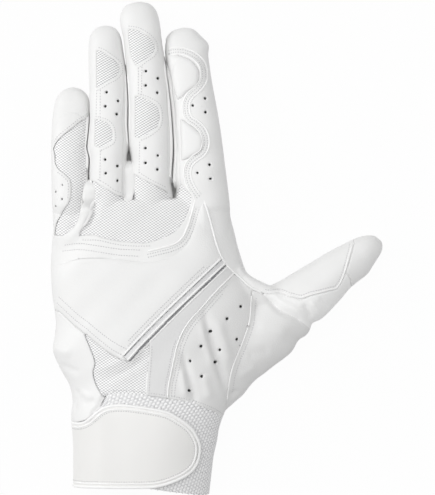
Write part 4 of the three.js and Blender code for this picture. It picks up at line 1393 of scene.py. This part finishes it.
def strap_cord(name, inset_px, half_width, height, lift, *nodes):
    path = on_wrist(*strap_edge(inset_px), strap_top + lift)
    strap_piece(sweep(name, *path, half_width, height, cord_leather_painted_highlight), "leather", *nodes)


strap_cord("strap_edge_binding", 1.4, 0.72 * MM, 0.66 * MM, -0.25 * MM, "strap_binding")
strap_cord("strap_bead", 4.9, 0.42 * MM, 0.4 * MM, -0.02 * MM)

thread, _, _ = finish("thread", (0.64, 0.64, 0.645), 0.6)
stitch_station, stitch_share = 0.28, 0.85
stitch_ring = [(math.cos(turn), math.sin(turn)) for turn in np.linspace(0, 2 * math.pi, 6, endpoint=False)]


def stitch_row(spots, ahead, out, length=0.8 * MM, half_width=0.26 * MM, half_height=0.24 * MM):
    """Corners and faces of one stitch at each spot."""
    points, faces = [], []
    for spot, forward, up in zip(spots, ahead, out):
        side = np.cross(forward, up)
        base = len(points)
        points.append(spot - forward * length / 2)
        ring = [stitch_share * (side * half_width * c + up * half_height * s) for c, s in stitch_ring]
        for station in (-stitch_station, stitch_station):
            points += [spot + forward * length * station + corner for corner in ring]
        points.append(spot + forward * length / 2)
        for k in range(6):
            following = (k + 1) % 6
            faces += [(base, base + 1 + following, base + 1 + k),
                      (base + 1 + k, base + 1 + following, base + 7 + following, base + 7 + k),
                      (base + 13, base + 7 + k, base + 7 + following)]
    return points, faces


def along_path(path, out, pitch):
    """Where the stitches of a row lie, and which way each runs and faces."""
    _, spots, ups = at_even_steps(pitch, path, out)
    ahead = unit(np.gradient(spots, axis=0))
    ups -= (ups * ahead).sum(1)[:, None] * ahead
    return spots, ahead, unit(ups)


def make_stitches(name, points, faces):
    rows = new_mesh(name, points, faces)
    face_outwards(rows)
    bpy.ops.object.shade_smooth()
    rows.data.materials.append(thread)
    return rows


stitch_pitch = 1.15 * MM
strap_row = along_path(*on_wrist(*strap_edge(6.8), strap_top), stitch_pitch)
strap_piece(make_stitches("strap_stitches", *stitch_row(*strap_row)), "leather")

# The strap closes with a patch of hooks on its inner side and a patch of loops on the cuff. It is
# anchored by a leather band that runs on round the little finger's side of the cuff.
tape_finish, tape_tree, tape_shader = finish("hook_and_loop", (0.8, 0.8, 0.8), 0.85, sheen=0.4)
pile = texture(tape_tree, "ShaderNodeTexVoronoi", object_point(tape_tree, (1, 1, 1)), Scale=1400)
tone(tape_tree, tape_shader, pile.outputs["Distance"], (0.7, 0.7, 0.7), (0.86, 0.86, 0.86))
relief(tape_tree, tape_shader, pile.outputs["Distance"], 0.8, 0.2 * MM)
grip_turns = np.linspace(0.3, 2.0, 90)
grip_outline = smooth_line([
    (150, 424), (168, 425), (180, 432), (187, 444), (185, 456), (176, 464), (160, 468), (150, 468),
    (148, 446), (150, 424)])
for name, offset, body in (("loop_patch", 0.42 * MM, "hand"), ("hook_patch", strap_inner, "strap")):
    sheet = wrist_sheet("grip", grip_turns, 470, 422, offset)
    patch = cut_sheet(sheet, name, grip_outline, tape_finish, wall=0.22 * MM, roll=0.0)
    ride(patch, body, "hook_and_loop", name)
anchor_turns = np.linspace(strap_sewn_turn + 0.01, math.pi + 1.25, 60)
anchor = wrist_sheet("strap_anchor_band", anchor_turns, 486, 421, strap_top)
modify(anchor, "SOLIDIFY", thickness=strap_wall, offset=-1)
face_outwards(anchor)
bpy.ops.object.shade_smooth_by_angle(angle=math.radians(40))
anchor.data.materials.append(strap_leather)
ride(anchor, "hand", "leather", "strap_anchor")

# The cords and seams of the back: the welt's two cords, the ridge of the knuckle strip, the seam
# beside the index finger and the thin raised seams round the trim and the thumb.
hand_surface = hand_cut.surface()


def on_skin(surface, line_px, lift=0.0, step_px=1.0, from_below=False, shoulder_px=0.0):
    """A line of pixels laid onto finished leather, evened out, and the directions out of it. On a seam
    it lies on the two shoulders of the seam's groove."""
    line = at_even_steps(step_px, np.asarray(line_px, float))[1]
    start, way = (-0.1, 1) if from_below else (0.2, -1)
    spots, outs = [], []
    shifts = (shoulder_px, -shoulder_px) if shoulder_px else (0,)
    for places in zip(*(place(beside(line, shift)) for shift in shifts)):
        hits = [surface.ray_cast(Vector((x, y, start)), Vector((0, 0, way)))[:2] for x, y in places]
        if any(hit is None for hit, _ in hits):
            continue
        spots.append(sum((hit for hit, _ in hits), Vector()) / len(hits))
        facing = (normal if normal.z * way < 0 else -normal for _, normal in hits)
        outs.append(sum(facing, Vector()).normalized())
    spots, outs = np.array(spots), np.array(outs)
    for _ in range(3):
        outs[1:-1] = (outs[:-2] + outs[1:-1] + outs[2:]) / 3
        spots[1:-1, 2] = (spots[:-2, 2] + spots[1:-1, 2] + spots[2:, 2]) / 3
    outs = unit(outs)
    return spots + outs * lift, outs


def back_cord(name, line_px, half_width, height, lift=0.0, *nodes, shoulder_px=0.0, material=cord_leather_painted_highlight):
    path = on_skin(hand_surface, line_px, lift, shoulder_px=shoulder_px)
    return ride(sweep(name, *path, half_width, height, material), "hand", "leather", *nodes)


def part_between(line, low, high, axis=1):
    """The part of a line that lies between two rows of the picture, or two columns with axis 0."""
    return line[(line[:, axis] > low) & (line[:, axis] < high)]


back_cord("upper_welt_cord", beside(welt_line, -8.3), 0.42 * MM, 0.45 * MM, 0.1 * MM, "welt_piping_upper")
back_cord("lower_welt_cord", beside(welt_line, -2.0), 0.45 * MM, 0.5 * MM, 0.15 * MM, "welt_piping_lower")
back_cord("outer_welt_cord", beside(welt_line, 2.2), 0.3 * MM, 0.3 * MM, 0.1 * MM)
# This thin near-black cord beside the upper welt cord is a painted shadow line along the channel's edge.
back_cord("welt_line", beside(welt_line, -6.9), 0.28 * MM, 0.14 * MM, 0.02 * MM, material=welt_black_and_painted_shadow)
strip_ridge = smooth_line([
    (195.5, 199), (193.8, 207), (191.3, 216), (188, 227), (183, 237.5), (177, 243), (168, 246.5),
    (158, 249), (148, 251.5)])
back_cord("strip_ridge", strip_ridge, 0.5 * MM, 0.5 * MM)
side_seam = smooth_line([
    (202.5, 197), (206, 206), (209, 216), (213, 231), (217, 246), (222, 258), (229, 267.5), (240, 277.5),
    (250, 286.5), (262, 292.5)])
back_cord("index_side_seam", side_seam, 0.58 * MM, 0.55 * MM, 0.05 * MM, shoulder_px=2.2)
back_cord("trim_seam", part_between(trim_right_edge, 0, 400), 0.36 * MM, 0.36 * MM, 0.1 * MM, shoulder_px=2)
back_cord("trim_inner_seam", part_between(trim_left_edge, 341, 393), 0.28 * MM, 0.2 * MM)
back_cord("thumb_base_seam", part_between(thumb_seam, 294, 402), 0.36 * MM, 0.36 * MM, 0.05 * MM,
          shoulder_px=2)

# Rows of stitches beside the seams of the back, and round the heel patch of the palm.
back_rows = [
    beside(strip_ridge, 2.8), beside(strip_ridge, 5.8),
    smooth_line([(66, 245), (80, 243.5), (100, 246), (120, 249), (140, 250)]),
    smooth_line([(64, 251), (80, 249.5), (100, 252), (120, 255), (138, 256)]),
    smooth_line([(84, 240), (100, 240.5), (118, 244.5), (136, 246), (150, 246)]),
    beside(welt_line, -10.9)[6:-6], beside(welt_line, -14.2)[8:-8],
    smooth_line([(58, 303), (66, 310), (76, 319), (88, 328), (101, 339), (113, 348), (124, 354)]),
    smooth_line([(60, 297), (68, 304), (78, 313), (90, 322), (103, 332.5), (115, 341), (127, 347.5)]),
    beside(part_between(trim_right_edge, 282, 396), 3.6),
    beside(part_between(trim_right_edge, 288, 396), 6.6),
    beside(part_between(trim_right_edge, 340, 396), -3.2),
    beside(part_between(trim_left_edge, 345, 392), 2.6),
    beside(part_between(thumb_seam, 297, 394), 4.6), beside(part_between(wrist_seam, 110, 222, axis=0), 3.0),
]


def rows_on(name, surface, rows, from_below=False):
    paths = [on_skin(surface, row, from_below=from_below) for row in rows]
    return make_stitches(name, *joined([stitch_row(*along_path(*path, stitch_pitch)) for path in paths]))


ride(rows_on("back_stitches", hand_surface, back_rows), "hand", "trim")
palm_rows = [beside(heel_patch, 2.2), beside(heel_patch, 4.6)]
ride(rows_on("palm_stitches", hand_surface, palm_rows, from_below=True), "hand", "trim")

# The raised seams down the sides of neighbouring stalls. Their edges almost meet between the fingers.
# Two of the crotches are closed by a tongue of leather that comes up out of the gap onto the back.
# Each crotch: the two fingers, and the rows where the seams start and end and the strips end.
crotches = [("little", "ring", 104, 176, 200), ("ring", "middle", 62, 153, 200),
            ("middle", "index", 54, 186, 206)]
seam_gap, seam_half_width, seam_half_height = 0.25 * MM, 0.9 * MM, 0.6 * MM
seam_shares, strip_shares = [0.05, 0.47, 0.47, -0.2], {0: [-0.58] * 4, 1: [-0.7] * 4}
seam_start_px, seam_drop_px = 14, 9
strip_half_width, strip_half_height, strip_reach = 1.5 * MM, 0.35 * MM, 0.05 * MM


def gap_path(finger, neighbour, side, start_px, end_px, inward, shares):
    """A path down the gap between two stalls, drawn in from its middle, at shares of the half thickness."""
    tube, other = fingers[finger], fingers[neighbour]
    path = []
    for row in np.arange(start_px, end_px, 1.5):
        spots = []
        for part, edge in ((tube, side), (other, 1 - side)):
            where = at_row(part, row)
            spots.append(part.root + part.along * where + part.across * part.edges(where)[edge])
        where = at_row(tube, row)
        share = np.interp(row, [start_px, start_px + seam_start_px, end_px - seam_drop_px, end_px], shares)
        middle = (spots[0][0] + spots[1][0]) / 2
        path.append((middle + inward, spots[0][1], tube.lift(where) + share * tube.half(where)))
    return np.array(path), np.tile([0.0, 0.0, 1.0], (len(path), 1))


def gap_cord(name, finger, path, half_width, half_height, material):
    cord = sweep(name, *path, half_width, half_height, material, step=0.8 * MM)
    along_stall(cord, finger, "leather")


for left, right, start_px, end_px, root_px in crotches:
    gap = seam_gap * (1.8 if left == "little" else 1)
    for finger, neighbour, side in ((left, right, 1), (right, left, 0)):
        way, name = (-1, "right") if side else (1, "left")
        path = gap_path(finger, neighbour, side, start_px, end_px, way * (gap + seam_half_width), seam_shares)
        gap_cord(f"{finger}_{name}_seam", finger, path, seam_half_width, seam_half_height, cord_leather_painted_highlight)
        inward = way * (strip_half_width - strip_reach)
        path = gap_path(finger, neighbour, side, start_px, root_px, inward, strip_shares[side])
        gap_cord(f"{finger}_{name}_side_strip", finger, path, strip_half_width, strip_half_height, leather)

# Each tongue: its finger and the neighbour, its middle line, its half width and the width of the groove
# that it bridges, in pixels, its height, shares of its width along it, and how far it stands off.
tongues = [("ring", "little", [(89.6, 180), (90, 190), (89.6, 200), (87.8, 210), (85, 220), (80.5, 230)],
            6.6, 5.4, 0.6 * MM, [0.7, 0.9, 1, 1, 0.95, 0.75, 0.4], 0.25 * MM),
           ("middle", "ring", [(129.3, 161), (129.3, 168), (129.2, 176), (129.2, 186), (128.9, 194),
                               (128.2, 203)],
            6.2, 4.8, 0.5 * MM, [0.9, 1, 1, 1, 0.92, 0.8, 0.7], 0.0)]
tongue_rise, tongue_start, tongue_rounds = 4 * MM, 0.22, 25
for finger, neighbour, line, half_px, shoulder_px, height, shares, lift in tongues:
    surface = surface_of(hand_cut.tops + stall_cuts[finger].tops + stall_cuts[neighbour].tops)
    path, out = on_skin(surface, smooth_line(line), lift, shoulder_px=shoulder_px)
    for _ in range(tongue_rounds):
        path[1:-1, 2] = (path[:-2, 2] + path[1:-1, 2] + path[2:, 2]) / 3
    depth = np.clip(1 - np.linspace(0, 1, len(path)) / tongue_start, 0, 1)
    path[:, 2] -= tongue_rise * depth * depth
    tongue = sweep(f"{finger}_{neighbour}_tongue", path, out, half_px * pixel, height, leather, around=24,
                   shares=(np.linspace(0, 1, len(shares)), shares))
    along_stall(tongue, finger, "leather")

# The stitching of the stalls follows the cut edges of the leather. On the index finger two raised seams
# with a double row between them run round the pads and down to the hand.
index_seam = smooth_line([
    (169, 51.5), (178, 50.5), (188, 52.5), (196, 57), (202, 64), (204, 73), (203, 82), (197, 90),
    (190, 96.5), (186.5, 104), (186.5, 112), (189, 119), (196, 124), (202, 130), (205.5, 138),
    (205.5, 147), (202, 154), (195, 159), (189.5, 165), (187.5, 173), (189, 182), (193, 190), (198, 197)])
row_inset_px = 2.8
little_mesh = stall_regions["little"]["mesh"]
ring_meshes, middle_meshes = stall_regions["ring"], stall_regions["middle"]


def beside_edge(points_px, inset_px=row_inset_px):
    return beside(smooth_line(points_px), inset_px)


stall_rows = {
    "little": [beside_edge([(88, 116), *little_mesh[1:7], (57, 143)], -row_inset_px),
               beside_edge(little_mesh[12:18], -row_inset_px)],
    "ring": [beside_edge(ring_meshes["mesh_end"][1:]), [(100.5, 91), (100.5, 117)], [(97, 91), (96.5, 117)],
             beside_edge([(98, 120), *ring_meshes["mesh_middle"][2:8]]), [(101, 152), (100.5, 181)],
             smooth_line([(99, 180), (107, 184.5), (115, 190.5), (121, 193)])],
    "middle": [beside_edge([(128.5, 28.5), *middle_meshes["mesh_end"][1:10]]),
               [(138.5, 69), (138.5, 94)], [(142, 68), (141.7, 95)],
               beside_edge([(138, 97), (147, 100), (157, 106), (159.5, 112), (160, 120), (158, 127),
                            (148, 135), (141, 138)]),
               [(140, 143), (139.5, 173)], smooth_line([(140, 173), (150, 179.5), (158, 183.5), (165, 187)])],
    "index": [beside(index_seam, 1.4), beside(index_seam, -1.4)],
}
for finger, rows in stall_rows.items():
    surface = stall_cuts[finger].surface()
    along_stall(rows_on(f"{finger}_stitches", surface, rows), finger, "trim")
    if finger == "index":
        for name, shift in (("index_outer_ridge", 3.5), ("index_inner_ridge", -3.5)):
            path = on_skin(surface, beside(index_seam, shift))
            along_stall(sweep(name, *path, 0.38 * MM, 0.34 * MM, cord_leather_painted_highlight), finger, "leather")

# The thumb's back is sewn over its side with a raised seam and a row of stitches.
back_seam_px = beside(stretch_of(thumb_back_seam, (265, 293), (354, 245)), 1.6)
thumb_ridge = on_skin(hand_surface, back_seam_px)
along_thumb(sweep("thumb_back_ridge", *thumb_ridge, 0.38 * MM, 0.3 * MM, cord_leather_painted_highlight), "leather")
along_thumb(rows_on("thumb_stitches", hand_surface, [beside(back_seam_px, 2.4)]), "trim")
